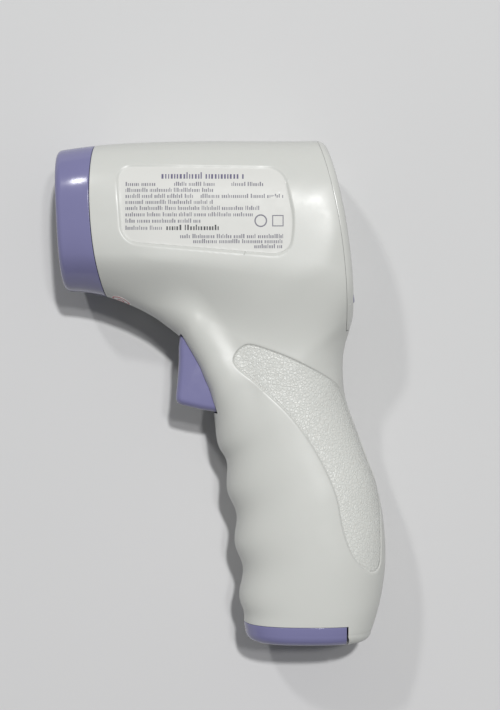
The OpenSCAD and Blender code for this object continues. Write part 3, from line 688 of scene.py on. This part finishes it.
def casing_half(name, labelled):
    t, a, arc, row_d, d0, d1 = GRID
    drop, shrink = np.sin(arc), 1 - np.cos(arc)
    outer = skin(t, a, 0.0, BASE_ROUND * drop, BASE_ROUND * shrink)
    normal = surface_normals(outer)
    flat = outer.reshape(-1, 3)
    xy = flat[:, :2]
    grip = outline_distance(xy, GRIP)
    depth = PANEL_DEPTH * ramp(0.1 - grip / 0.9) * (flat[:, 2] > 1.0)
    depth += np.where(grip < -0.5, leather(flat), 0)
    if labelled:
        depth += PANEL_DEPTH * ramp(0.1 - label_distance(xy) / 0.9) * (flat[:, 2] > 10)
    edge = np.maximum(edge_inset(row_d), np.maximum(edge_inset(d0) * 0.4, edge_inset(d1)))
    outer = outer - normal * (edge + depth.reshape(edge.shape))[..., None]
    middle = np.abs(skin(t, a)[..., 2]) < 1e-6
    outer[..., 2] = np.where(middle, 0.02, outer[..., 2])
    thin = BASE_ROUND - WALL
    inner = skin(t, a, WALL, thin * drop, thin * shrink)
    inner[..., 2] = np.where(middle, 0.02, inner[..., 2])

    rows, cols = t.shape
    pick_r = sorted({0, rows - 1, *range(0, rows, 4)})
    pick_c = sorted({0, cols - 1, *range(0, cols, 4)})
    faces = grid_faces(rows, cols)
    base = rows * cols
    inner_points = inner[np.ix_(pick_r, pick_c)]
    faces += grid_faces(len(pick_r), len(pick_c), base)
    at = lambda r, c: r * cols + c
    into = lambda i, j: base + i * len(pick_c) + j
    last_i, last_j = len(pick_r) - 1, len(pick_c) - 1
    for j, (c0, c1) in enumerate(zip(pick_c, pick_c[1:])):
        faces.append([at(0, c) for c in range(c0, c1 + 1)] + [into(0, j + 1), into(0, j)])
    for i, (r0, r1) in enumerate(zip(pick_r, pick_r[1:])):
        for c, j in ((0, 0), (cols - 1, last_j)):
            faces.append([at(r, c) for r in range(r0, r1 + 1)] + [into(i + 1, j), into(i, j)])
    faces.append([at(rows - 1, c) for c in range(cols)])
    faces.append([into(last_i, j) for j in range(last_j + 1)])
    faces.append([at(rows - 1, cols - 1), at(rows - 1, 0), into(last_i, 0), into(last_i, last_j)])
    verts = np.concatenate([outer.reshape(-1, 3), inner_points.reshape(-1, 3)])
    if not labelled:
        verts = verts * [1, 1, -1]
    obj = new_object(name, verts, faces)

    side = 1 if labelled else -1
    spans = lambda z0, z1: (min(side * z0, side * z1), max(side * z0, side * z1))
    tools = [
        block("door_bay", (-5, -90, -30), (DOOR_END_X + 0.5, DOOR_TOP_Y + 0.12, 30)),
        rod("door_swing", HINGE, 2.25, -30, 30),
        prism("trigger_slot", trigger_slot(0.0), -9.2, 9.2),
        prism("pulled_slot", trigger_slot(PULL), -9.2, 9.2),
    ]
    if not labelled:
        form = inner_form(WALL / 2, side)
        posts = [rod("post", p, 4.0, *spans(0.1, 30)) for p in SCREWS]
        for post in posts[1:]:
            combine(posts[0], [post], "UNION")
        combine(posts[0], [form], "INTERSECT")
        combine(obj, [posts[0]], "UNION")
        tools += [rod("seat", p, 2.7, *spans(4.4, 30)) for p in SCREWS]
        tools += [rod("hole", p, 1.45, *spans(-1, 12)) for p in SCREWS]
    combine(obj, tools)
    low, high = spans(7, 10)
    lug = rod("lug", HINGE, 1.4, low, high)
    arm = block("arm", (HINGE[0], HINGE[1] - 1.2, low), (40.4, HINGE[1] + 1.4, high))
    combine(lug, [arm], "UNION")
    combine(lug, [rod("pin_hole", HINGE, 0.78, -9.9, 9.9)])
    combine(obj, [lug], "UNION")

    mesh = obj.data
    places = np.empty(len(mesh.vertices) * 3)
    mesh.vertices.foreach_get("co", places)
    places = places.reshape(-1, 3) / MM - LIFT
    marks = {"panel": np.where(np.abs(places[:, 2]) > 1.0, -outline_distance(places[:, :2], GRIP), -3)}
    marks["label"] = np.full(len(places), -3.0)
    if labelled:
        marks["label"] = np.where(places[:, 2] > 10, -label_distance(places[:, :2]), -3)
    for key, values in marks.items():
        layer = mesh.attributes.new(key, "FLOAT", "POINT")
        layer.data.foreach_set("value", np.clip(values, -3, 3).astype(np.float32))
    paint(obj, white_plastic)
    smooth(obj)
    return obj


def inner_form(inset, side):
    """A plain closed solid of one half's form, drawn in by inset."""
    t = np.linspace(0.8, LAST, 120)[:, None]
    a = np.linspace(0, np.pi, 60)[None, :]
    p = skin(t + 0 * a, a + 0 * t, inset)
    return loft("form", p * [1, 1, side])


left_shell = casing_half("left_casing", True)
right_shell = casing_half("right_casing", False)
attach(left_shell, "housing")
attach(right_shell, "housing")
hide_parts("left_shell")
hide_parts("right_shell")

# ---------------------------------------------------------------- nose ring

AROUND = np.linspace(0, 2 * np.pi, 360, endpoint=False)


def nose_circle(radius, depth):
    """A circle about the sensor's axis, depth behind the nose's face."""
    c, s = math.cos(NOSE_TURN), math.sin(NOSE_TURN)
    up = radius * np.cos(AROUND)
    x = NOSE_ORIGIN[0] - depth * c + up * s
    y = NOSE_ORIGIN[1] - depth * s - up * c
    return np.stack([x, y, radius * np.sin(AROUND)], -1)


def nose_ring():
    edge_t = solve_t(lambda p: joint_depth(p, JOINT_R + JOINT_GAP), 0.3, 4.5, AROUND)
    zero = 0 * AROUND
    face = skin(zero, AROUND, NOSE_ROUND)
    rings = [nose_circle(14.2, 2.2), nose_circle(14.2, 0.5)]
    rings += [nose_circle(14.2 + 0.5 * (1 - math.cos(q)), 0.5 * (1 - math.sin(q))) for q in (0.5, 1.0, 1.3)]
    rings += [nose_circle(14.7, 0.0)]
    rings += [(1 - k) * nose_circle(14.9, 0.0) + k * face for k in (0.02, 0.2, 0.4, 0.6, 0.8, 0.95)]
    for q in np.radians(np.linspace(90, 0, 14)):
        along = zero + (1 - math.sin(q)) * NOSE_ROUND / NOSE_PITCH
        rings.append(skin(along, AROUND, NOSE_ROUND * (1 - math.cos(q))))
    start = NOSE_ROUND / NOSE_PITCH
    stop = edge_t - EDGE / NOSE_PITCH
    rings += [skin(start + (stop - start) * k, AROUND) for k in np.linspace(0, 1, 40)[1:]]
    for d in EDGE_STEPS[::-1][1:]:
        rings.append(skin(edge_t - d / NOSE_PITCH, AROUND, float(edge_inset(d))))
    rings += [skin(edge_t, AROUND, k) for k in (0.6, 1.2, 1.8, 2.35)]
    rings += [skin(edge_t + (2.9 - edge_t) * k, AROUND, 2.35) for k in (0.05, 0.5, 1.0)]
    rings += [skin(zero + 2.9, AROUND, k) for k in (2.6, 3.9)]
    rings += [skin(zero + k, AROUND, 3.9) for k in (2.2, 1.15)]
    rings += [skin(zero + k, AROUND, 2.45) for k in (1.1, 0.42)]
    back = rings[-1]
    rings += [(1 - k) * back + k * nose_circle(14.2, 2.2) for k in (0.3, 0.7)]
    obj = loft("nose_hood", rings, violet_plastic, closed_loop=True)
    smooth(obj)
    return obj


hood = nose_ring()
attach(hood, "housing")
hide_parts("nose_ring")

# ---------------------------------------------------------------- display bezel

BEZEL_CENTRE_Y = 50.0
PSI = np.linspace(0, np.pi, 181)


def face_outlines(radii):
    """For each cylinder radius, the distance from the face's centre to the skin at each PSI."""
    t = np.linspace(6.6, 14.6, 640)[:, None] + 0 * FINE
    p = skin(t, FINE + 0 * t)
    found = []
    for radius in radii:
        depth = face_depth(p, radius)
        turned = (depth[:, 0] < 0) & (depth[:, -1] > 0)
        rows = np.nonzero(turned)[0]
        i = np.argmax(depth[rows] >= 0, axis=1)
        a, b = depth[rows, i - 1], depth[rows, i]
        k = (a / (a - b))[:, None]
        q = p[rows, i - 1] * (1 - k) + p[rows, i] * k
        psi = np.arctan2(q[:, 2], q[:, 1] - BEZEL_CENTRE_Y)
        rho = np.hypot(q[:, 2], q[:, 1] - BEZEL_CENTRE_Y)
        order = np.argsort(psi)
        found.append(np.interp(PSI, psi[order], rho[order]))
    return found


def face_ring(radius, rho, inset=0.0, scale=1.0):
    r = np.maximum(rho - inset, 0) * scale
    half = np.stack([BEZEL_CENTRE_Y + r * np.cos(PSI), r * np.sin(PSI)], -1)
    full = np.concatenate([half, half[-2:0:-1] * [1, -1]])
    y = np.maximum(full[:, 0], BEZEL_FOOT_Y + 0.25)
    x = FACE_CENTRE[0] + np.sqrt(radius**2 - (y - FACE_CENTRE[1]) ** 2)
    return np.stack([x, y, full[:, 1]], -1)


KEY_Y = -22.2
KEY_W, KEY_H = 7.0, 5.0
KEY_TOP = -1.15
KEY_ZS = {"left": -10.0, "mode": 0.0, "right": 10.0}


def pill(w, h, x, z, grow=0.0, count=24):
    """A bar with round ends in the plane of the display face, centred on a key."""
    r = h / 2 + grow
    a = np.linspace(-np.pi / 2, np.pi / 2, count)
    right = np.stack([r * np.cos(a) + (w - h) / 2, r * np.sin(a)], -1)
    whole = np.concatenate([right, -right])
    return rear(np.stack([x + 0 * whole[:, 0], KEY_Y + whole[:, 1], z + whole[:, 0]], -1))


def bezel():
    round_r = 1.9
    back_r = FACE_R - BEZEL_T + 0.03
    levels = [back_r, back_r + 0.1]
    turn = np.radians(np.linspace(0, 90, 9))
    levels += [FACE_R - round_r + round_r * math.sin(q) for q in turn]
    outlines = face_outlines(levels)
    rings = [face_ring(back_r, outlines[0], 0.2, k) for k in (0.02, 0.4, 0.75, 0.98)]
    rings.append(face_ring(back_r, outlines[0], 0.09))
    rings.append(face_ring(back_r + 0.03, outlines[0], 0.03))
    rings.append(face_ring(levels[1], outlines[1]))
    for q, level, rho in zip(turn, levels[2:], outlines[2:]):
        rings.append(face_ring(level, rho, round_r * (1 - math.cos(q))))
    rings += [face_ring(FACE_R, outlines[-1], round_r, k) for k in (0.95, 0.8, 0.6, 0.4, 0.2, 0.02)]
    obj = loft("display_bezel", rings)
    ledge = block("ledge", (-4.2, -14.5, -16.2), (-1.2, 12.9, 16.2), rear)
    combine(obj, [ledge], "UNION")
    tools = [
        block("window_seat", (-1.95, -12.6, -15.1), (3, 12.6, 15.1), rear),
        block("window_hole", (-8, -11, -13.5), (3, 11, 13.5), rear),
    ]
    for z in KEY_ZS.values():
        tools.append(loft("key_hole", [pill(KEY_W, KEY_H, x, z, 0.15) for x in (-8, 3)]))
    combine(obj, tools)
    paint(obj, bezel_plastic)
    smooth(obj)
    return obj


display_bezel = bezel()
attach(display_bezel, "housing")
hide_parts("rear_bezel")

# ---------------------------------------------------------------- keys and display


def key_cap(name, z):
    """A key with a rounded top and a flange behind the bezel."""
    top = KEY_TOP
    rings = [pill(KEY_W, KEY_H, -4.6, z, 0.0)]
    rings += [pill(KEY_W, KEY_H, top - 0.8 + 0.8 * math.sin(q), z, -0.8 * (1 - math.cos(q)))
              for q in np.radians(np.linspace(0, 90, 8))]
    rings.append(pill(KEY_W, KEY_H, top + 0.06, z, -1.6))
    obj = loft(name, rings)
    flange = loft("flange", [pill(KEY_W + 1.6, KEY_H + 1.6, x, z) for x in (-5.4, -4.5)])
    combine(obj, [flange], "UNION")
    paint(obj, violet_plastic)
    smooth(obj, 40)
    return obj


def flat_mark(name, outline, x, material, thickness=0.05):
    """A thin printed shape on the display end, from (y, z) points."""
    o = np.array(outline, float)
    rings = [np.stack([d + 0 * o[:, 0], o[:, 0], o[:, 1]], -1) for d in (x, x + thickness)]
    obj = loft(name, rear(np.array(rings)), material)
    return obj


def ring_mark(name, centre, r0, r1, x, material):
    a = np.linspace(0, 2 * np.pi, 48, endpoint=False)
    circle = lambda r, d: np.stack([d + 0 * a, centre[0] + r * np.cos(a), centre[1] + r * np.sin(a)], -1)
    rings = [circle(r0, x), circle(r1, x), circle(r1, x + 0.05), circle(r0, x + 0.05)]
    return loft(name, rear(np.array(rings)), material, closed_loop=True)


for key, z in KEY_ZS.items():
    cap = key_cap("cap_" + key, z)
    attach(cap, "key_" + key)
    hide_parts("key_" + key)
    if key == "mode":
        mark = ring_mark("mark_mode", (KEY_Y, z), 0.75, 1.05, KEY_TOP + 0.04, label_film)
    else:
        tip = 1.1 if key == "right" else -1.1
        foot = KEY_Y - tip * 0.6
        arrow = [(KEY_Y + tip, z), (foot, z - 1.1), (foot, z + 1.1)]
        mark = flat_mark("mark_" + key, arrow, KEY_TOP + 0.04, label_film)
    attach(mark, "key_" + key)

# Centre y and centre z of each segment of a digit, and whether it runs along y.
SEGMENTS = [
    (1, 0, False), (0, 0, False), (-1, 0, False),
    (0.5, -1, True), (0.5, 1, True), (-0.5, -1, True), (-0.5, 1, True),
]


def segment(y, z, along_y, half, width):
    """One six-sided display segment."""
    tip = width / 2
    line = [
        (-half, 0), (-half + tip, tip), (half - tip, tip),
        (half, 0), (half - tip, -tip), (-half + tip, -tip),
    ]
    return [(y + a, z + b) if along_y else (y + b, z + a) for a, b in line]


def display():
    """The resting display: faint, unlit segments of three digits and a decimal dot."""
    pieces = []
    tall, wide, bar = 5.2, 2.4, 1.0
    for z0 in (7.2, 0.0, -7.2):
        for y, z, along_y in SEGMENTS:
            half = tall / 2 - 0.25 if along_y else wide - 0.25
            outline = segment(1.0 + y * tall, z0 + z * wide, along_y, half, bar)
            pieces.append(flat_mark("seg", outline, -4.29, lcd_segment, 0.02))
    a = np.linspace(0, 2 * np.pi, 24, endpoint=False)
    dot = np.stack([-4.4 + 0.6 * np.cos(a), -3.6 + 0.6 * np.sin(a)], -1)
    pieces.append(flat_mark("dot", dot, -4.29, lcd_segment, 0.02))
    with bpy.context.temp_override(active_object=pieces[0], selected_editable_objects=pieces):
        bpy.ops.object.join()
    pieces[0].name = "display_segments"
    return pieces[0]


digits = display()
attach(digits, "housing")

# ---------------------------------------------------------------- battery door


def battery_door():
    top_t = solve_t(lambda p: DOOR_TOP_Y - p[..., 1], 22.5, 24.6, AROUND)
    zero = 0 * AROUND
    steps = [skin(top_t + EDGE / 7, AROUND)]
    rings = [skin(top_t + d / 7, AROUND, float(edge_inset(d))) for d in EDGE_STEPS[:-1]] + steps
    first = top_t + EDGE / 7
    rings += [skin(first + (LAST - first) * k, AROUND) for k in np.linspace(0, 1, 12)[1:]]
    for q in np.radians(np.linspace(0, 90, 12))[1:]:
        rings.append(skin(zero + LAST, AROUND, 0, BASE_ROUND * math.sin(q), BASE_ROUND * (1 - math.cos(q))))
    outer_end = rings[-1]
    centre = outer_end.mean(axis=0)
    rings += [outer_end + (centre - outer_end) * k for k in (0.5, 0.98)]
    thin = BASE_ROUND - 1.8
    inner_end = skin(zero + LAST, AROUND, 1.8, thin, thin)
    centre = inner_end.mean(axis=0)
    cup = [inner_end + (centre - inner_end) * k for k in (0.98, 0.5, 0)]
    cup += [skin(zero + LAST, AROUND, 1.8, thin * math.sin(q), thin * (1 - math.cos(q)))
            for q in np.radians([60, 30, 0])]
    cup += [skin(top_t + 0.06, AROUND, 1.8)]
    faces_out = np.array(rings)
    faces_in = np.array(cup)
    whole = np.concatenate([faces_out, faces_in])
    rows, cols = whole.shape[:2]
    n_out = len(faces_out)
    turn_over = range((n_out - 1) * cols, n_out * cols)
    faces = [f for f in grid_faces(rows, cols, wrap_cols=True) if f[0] not in turn_over]
    faces.append([(n_out - 1) * cols + i for i in range(cols)])
    faces.append([n_out * cols + i for i in range(cols)])
    ring = np.arange(cols)
    last = (rows - 1) * cols
    faces += np.stack([ring, (ring + 1) % cols, last + (ring + 1) % cols, last + ring], -1).tolist()
    obj = new_object("battery_cover", whole.reshape(-1, 3), faces)
    combine(obj, [block("end", (DOOR_END_X, -95, -40), (80, -50, 40))])
    combine(obj, [rod("knuckle", HINGE, 1.35, -6.7, 6.7)], "UNION")
    tabs = [block("tab", (11.6, -74.8, s * 6.45 - 0.75), (12.6, -67.6, s * 6.45 + 0.75)) for s in (-1, 1)]
    combine(obj, tabs, "UNION")
    x0, y1 = HINGE[0] - 1.65, HINGE[1] + 1.65
    slots = [block("slot", (x0, -85, s * 8.5 - 1.75), (60, y1, s * 8.5 + 1.75)) for s in (-1, 1)]
    combine(obj, slots + [rod("pin_hole", HINGE, 0.8, -9.9, 9.9)])
    paint(obj, violet_plastic)
    smooth(obj)
    return obj


cover = battery_door()
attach(cover, "battery_door")
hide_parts("battery_door")

# ---------------------------------------------------------------- trigger

def trigger():
    """The trigger: crowned across its front, with an open hollow back, two pivot stubs and a nub."""
    rings = []
    share = np.concatenate([[0.0, 0.35], 1 - 0.3 * (1 - np.sin(np.radians(np.linspace(0, 88, 12))))])
    for k in np.concatenate([-share[:0:-1], share]):
        inset = 2.0 * (1 - math.sqrt(1 - max(0, (abs(k) - 0.7) / 0.3) ** 2))
        o = shifted_outline(TRIGGER_OUTLINE, inset)
        rings.append(np.column_stack([o, np.full(len(o), 8.7 * k)]))
    obj = loft("trigger_grip", rings)
    hollow = [(-11.0, 9.5), (-11.4, -0.6), (-10.6, -1.9), (3, -3.9), (3, 11.4), (-9.4, 11.4)]
    combine(obj, [prism("hollow", hollow, -7.4, 7.4)])
    stubs = rod("stubs", PIVOT, 1.5, -11, 11)
    nub = block("nub", (-11.4, 8.6, -2), (-4.0, 9.4, 2))
    combine(obj, [stubs, nub], "UNION")
    combine(obj, [block("board_room", (-1.4, 2, -6), (6, 20, 6))])
    paint(obj, violet_plastic)
    smooth(obj, 40)
    return obj


trigger_grip = trigger()
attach(trigger_grip, "trigger")
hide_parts("trigger")

# ---------------------------------------------------------------- label and seal


def tree_of(obj):
    return BVHTree.FromObject(obj, bpy.context.evaluated_depsgraph_get())


left_tree = tree_of(left_shell)


def side_height(x, y):
    """Height of the left side above the mid-plane at x, y."""
    hit = left_tree.ray_cast(Vector((x * MM, y * MM, 0.1)), Vector((0, 0, -1)))[0]
    return hit.z / MM - HALF if hit else HALF


def patch(name, outline_rings, rise, material, thickness=0.0):
    """A sheet that lies on the left side, from rings of (x, y) points, outermost first."""
    rings = [[[x, y, side_height(x, y) + rise] for x, y in ring] for ring in outline_rings]
    rows, cols = len(rings), len(rings[0])
    faces = grid_faces(rows, cols, wrap_cols=True)
    faces.append([(rows - 1) * cols + i for i in range(cols)])
    points = np.array(rings).reshape(-1, 3)
    if thickness:
        skirt = np.array(rings[0]) - [0, 0, thickness]
        start = len(points)
        points = np.concatenate([points, skirt])
        faces += [[i, (i + 1) % cols, start + (i + 1) % cols, start + i] for i in range(cols)]
        faces.append([start + i for i in range(cols)])
    obj = new_object(name, points, faces, material)
    smooth(obj)
    return obj


def label_ring(inset, count=240):
    """Points of the label's outline, drawn in by inset, found along rays from its middle."""
    centre = np.array([-4.0, 55.5])
    a = np.linspace(0, 2 * np.pi, count, endpoint=False)
    way = np.stack([np.cos(a), np.sin(a)], -1)
    low, high = np.zeros(count), np.full(count, 60.0)
    for _ in range(30):
        mid = (low + high) / 2
        out = label_distance(centre + way * mid[:, None]) > -inset
        high = np.where(out, mid, high)
        low = np.where(out, low, mid)
    return centre + way * low[:, None]


rim = label_ring(0.75)
middle = np.array([-4.0, 55.5])
LABEL_RINGS = (1.0, 0.995, 0.97, 0.92, 0.85, 0.75, 0.62, 0.5, 0.36, 0.22, 0.1)
outlines = [middle + (rim - middle) * k for k in LABEL_RINGS]
label = patch("rating_sheet", outlines, 0.10, label_film, 0.09)
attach(label, "housing")
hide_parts("rating_label")

rng = np.random.default_rng(7)


def print_row(boxes, x0, x1, y, height, dash, space):
    """Fills a row with short upright dashes in uneven groups, which stand for small print."""
    x = x0
    while x < x1 - dash * 0.5:
        for _ in range(int(rng.integers(5, 15))):
            w = dash * float(rng.uniform(0.7, 1.5))
            if x + w > x1:
                return
            rise = float(rng.choice([0.0, 0.0, 0.0, 0.3]))
            boxes.append((x, y, w, height * (0.7 + rise)))
            x += w + space * float(rng.uniform(0.8, 1.3))
        x += dash * 1.8


def dashes(name, boxes, material, rise=0.125):
    """All the dashes of one ink, as one mesh that follows the label."""
    verts, faces = [], []
    for x, y, w, h in boxes:
        start = len(verts)
        for px, py in ((x, y), (x + w, y), (x + w, y + h), (x, y + h)):
            verts.append([px, py, side_height(px, py) + rise])
        faces.append([start, start + 1, start + 2, start + 3])
    obj = new_object(name, verts, faces, material, tidy=False)
    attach(obj, "housing")
    return obj


title, small, bold = [], [], []
print_row(title, -17.3, 7.4, 64.4, 2.0, 0.42, 0.42)
ROWS = [
    (62.2, [(-28.0, -18.6), (-13.5, -1.4), (3.6, 13.4)]), (60.4, [(-28.0, -1.4)]),
    (58.6, [(-28.0, -7.4), (-5.6, 19.0)]), (56.8, [(-28.0, -2.0)]), (55.0, [(-28.0, 12.2)]),
    (53.1, [(-28.0, 10.1)]), (51.2, [(-28.0, -5.6)]), (49.1, [(-28.0, -17.0)]),
    (46.6, [(-11.7, 19.2)]), (45.1, [(-7.8, 19.2)]), (43.6, [(10.4, 19.2)]),
]
for y, runs in ROWS:
    for x0, x1 in runs:
        print_row(small, x0, x1, y, 1.25, 0.26, 0.26)
print_row(bold, -15.8, 1.0, 49.0, 1.6, 0.36, 0.36)
dashes("title_print", title, label_violet)
dashes("small_print", small, label_ink)
dashes("bold_print", bold, label_black)


def frame_mark(name, centre, half, width, sides, turn):
    """A plain printed outline: a ring or a square."""
    a = np.linspace(0, 2 * np.pi, sides, endpoint=False) + turn
    verts, faces = [], []
    for r in (half, half - width):
        for q in a:
            x, y = centre[0] + r * math.cos(q), centre[1] + r * math.sin(q)
            verts.append([x, y, side_height(x, y) + 0.125])
    for i in range(sides):
        j = (i + 1) % sides
        faces.append([i, j, sides + j, sides + i])
    obj = new_object(name, verts, faces, label_ink, tidy=False)
    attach(obj, "housing")


frame_mark("ring_sign", (12.3, 51.8), 1.9, 0.4, 40, 0)
frame_mark("square_sign", (17.4, 51.8), 2.4, 0.42, 4, math.pi / 4)


SEAL_R = 3.0


def seal():
    """A round sticker low on the left side, behind the nose ring, with a printed ring and dot."""
    low, high = (Vector(corner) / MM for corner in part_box("seal_sticker"))
    centre = (low + high) / 2 - Vector((0, 0, HALF))
    centre.y = low.y - 7
    way = Vector((0.0, 1.0, 0.0))

    def spot(u, v, rise):
        start = Vector(((centre.x + u) * MM, centre.y * MM, (centre.z + v + HALF) * MM))
        hit, normal = left_tree.ray_cast(start, way)[:2]
        return np.array(hit + normal * rise * MM) / MM - LIFT

    def ring_of(r, rise):
        a = np.linspace(0, 2 * np.pi, 64, endpoint=False)
        return [spot(r * math.cos(q), r * math.sin(q), rise) for q in a]

    def printed_ring(name, outer, inner):
        top = [ring_of(r, 0.08) for r in (outer, inner)]
        bottom = [ring_of(r, 0.065) for r in (inner, outer)]
        return loft(name, top + bottom, seal_ink, closed_loop=True)

    rings = [ring_of(SEAL_R, 0.005)] + [ring_of(r, 0.06) for r in (SEAL_R, 2.4, 1.4, 0.2)]
    sheet = loft("seal_sheet", rings, seal_film)
    return sheet, [printed_ring("seal_ring", 2.7, 2.3), printed_ring("seal_dot", 1.1, 0.7)]


sheet, marks = seal()
smooth(sheet, 60)
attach(sheet, "housing")
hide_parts("seal_sticker")
for mark in marks:
    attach(mark, "housing")

# ---------------------------------------------------------------- stage


def floor():
    mesh = bpy.data.meshes.new("table")
    h = 1.5
    mesh.from_pydata([(-h, -h, 0), (h, -h, 0), (h, h, 0), (-h, h, 0)], [], [(0, 1, 2, 3)])
    obj = bpy.data.objects.new("table", mesh)
    bpy.context.scene.collection.objects.link(obj)
    n = Nodes("table_top")
    tint = n.mix(n.noise(3, 3), (0.600, 0.605, 0.600), (0.635, 0.628, 0.632))
    grain = n.bump(n.noise(400, 3), 0.05, 0.05)
    mesh.materials.append(n.finish(tint, 0.85, grain, Specular_IOR_Level=0.15))


def lamp(name, way, distance, size, irradiance, color=(1, 1, 1)):
    """A square lamp that gives the middle of the table the stated irradiance."""
    data = bpy.data.lights.new(name, "AREA")
    data.shape = "SQUARE"
    data.size = size
    way = Vector(way)
    facing = way.z / way.length
    data.energy = irradiance * math.pi * distance**2 / facing
    data.color = color
    obj = bpy.data.objects.new(name, data)
    obj.location = way.normalized() * distance
    obj.rotation_euler = way.to_track_quat("Z", "Y").to_euler()
    bpy.context.scene.collection.objects.link(obj)


floor()
lamp("key", (0.13, 0.30, 1.0), 2.0, 0.08, 1.80)
lamp("fill", (0.20, 0.19, 1.0), 2.0, 0.11, 0.44)
lamp("side", (-0.50, 0.75, 1.0), 2.0, 0.12, 0.42)
world = bpy.data.worlds.new("room")
world.use_nodes = True
room = world.node_tree.nodes.new("ShaderNodeSeparateXYZ")
way = world.node_tree.nodes.new("ShaderNodeTexCoord")
side = world.node_tree.nodes.new("ShaderNodeMapRange")
for socket, value in (("From Min", -0.6), ("From Max", 0.6), ("To Min", 0.11), ("To Max", 0.23)):
    side.inputs[socket].default_value = value
world.node_tree.links.new(way.outputs["Generated"], room.inputs["Vector"])
world.node_tree.links.new(room.outputs["Y"], side.inputs["Value"])
world.node_tree.links.new(side.outputs["Result"], world.node_tree.nodes["Background"].inputs["Strength"])
world.node_tree.nodes["Background"].inputs["Color"].default_value = (0.95, 0.97, 1.0, 1)
bpy.context.scene.world = world
bpy.context.scene.view_settings.view_transform = "Standard"

camera = bpy.data.objects.new("camera", bpy.data.cameras.new("camera"))
camera.data.sensor_fit = "AUTO"
camera.data.sensor_width = 36
camera.data.lens = 81.6
camera.location = (9.1 * MM, 11.8 * MM, (HALF + 500) * MM)
camera.rotation_euler = (0, 0, 0)
bpy.context.scene.collection.objects.link(camera)
bpy.context.scene.camera = camera
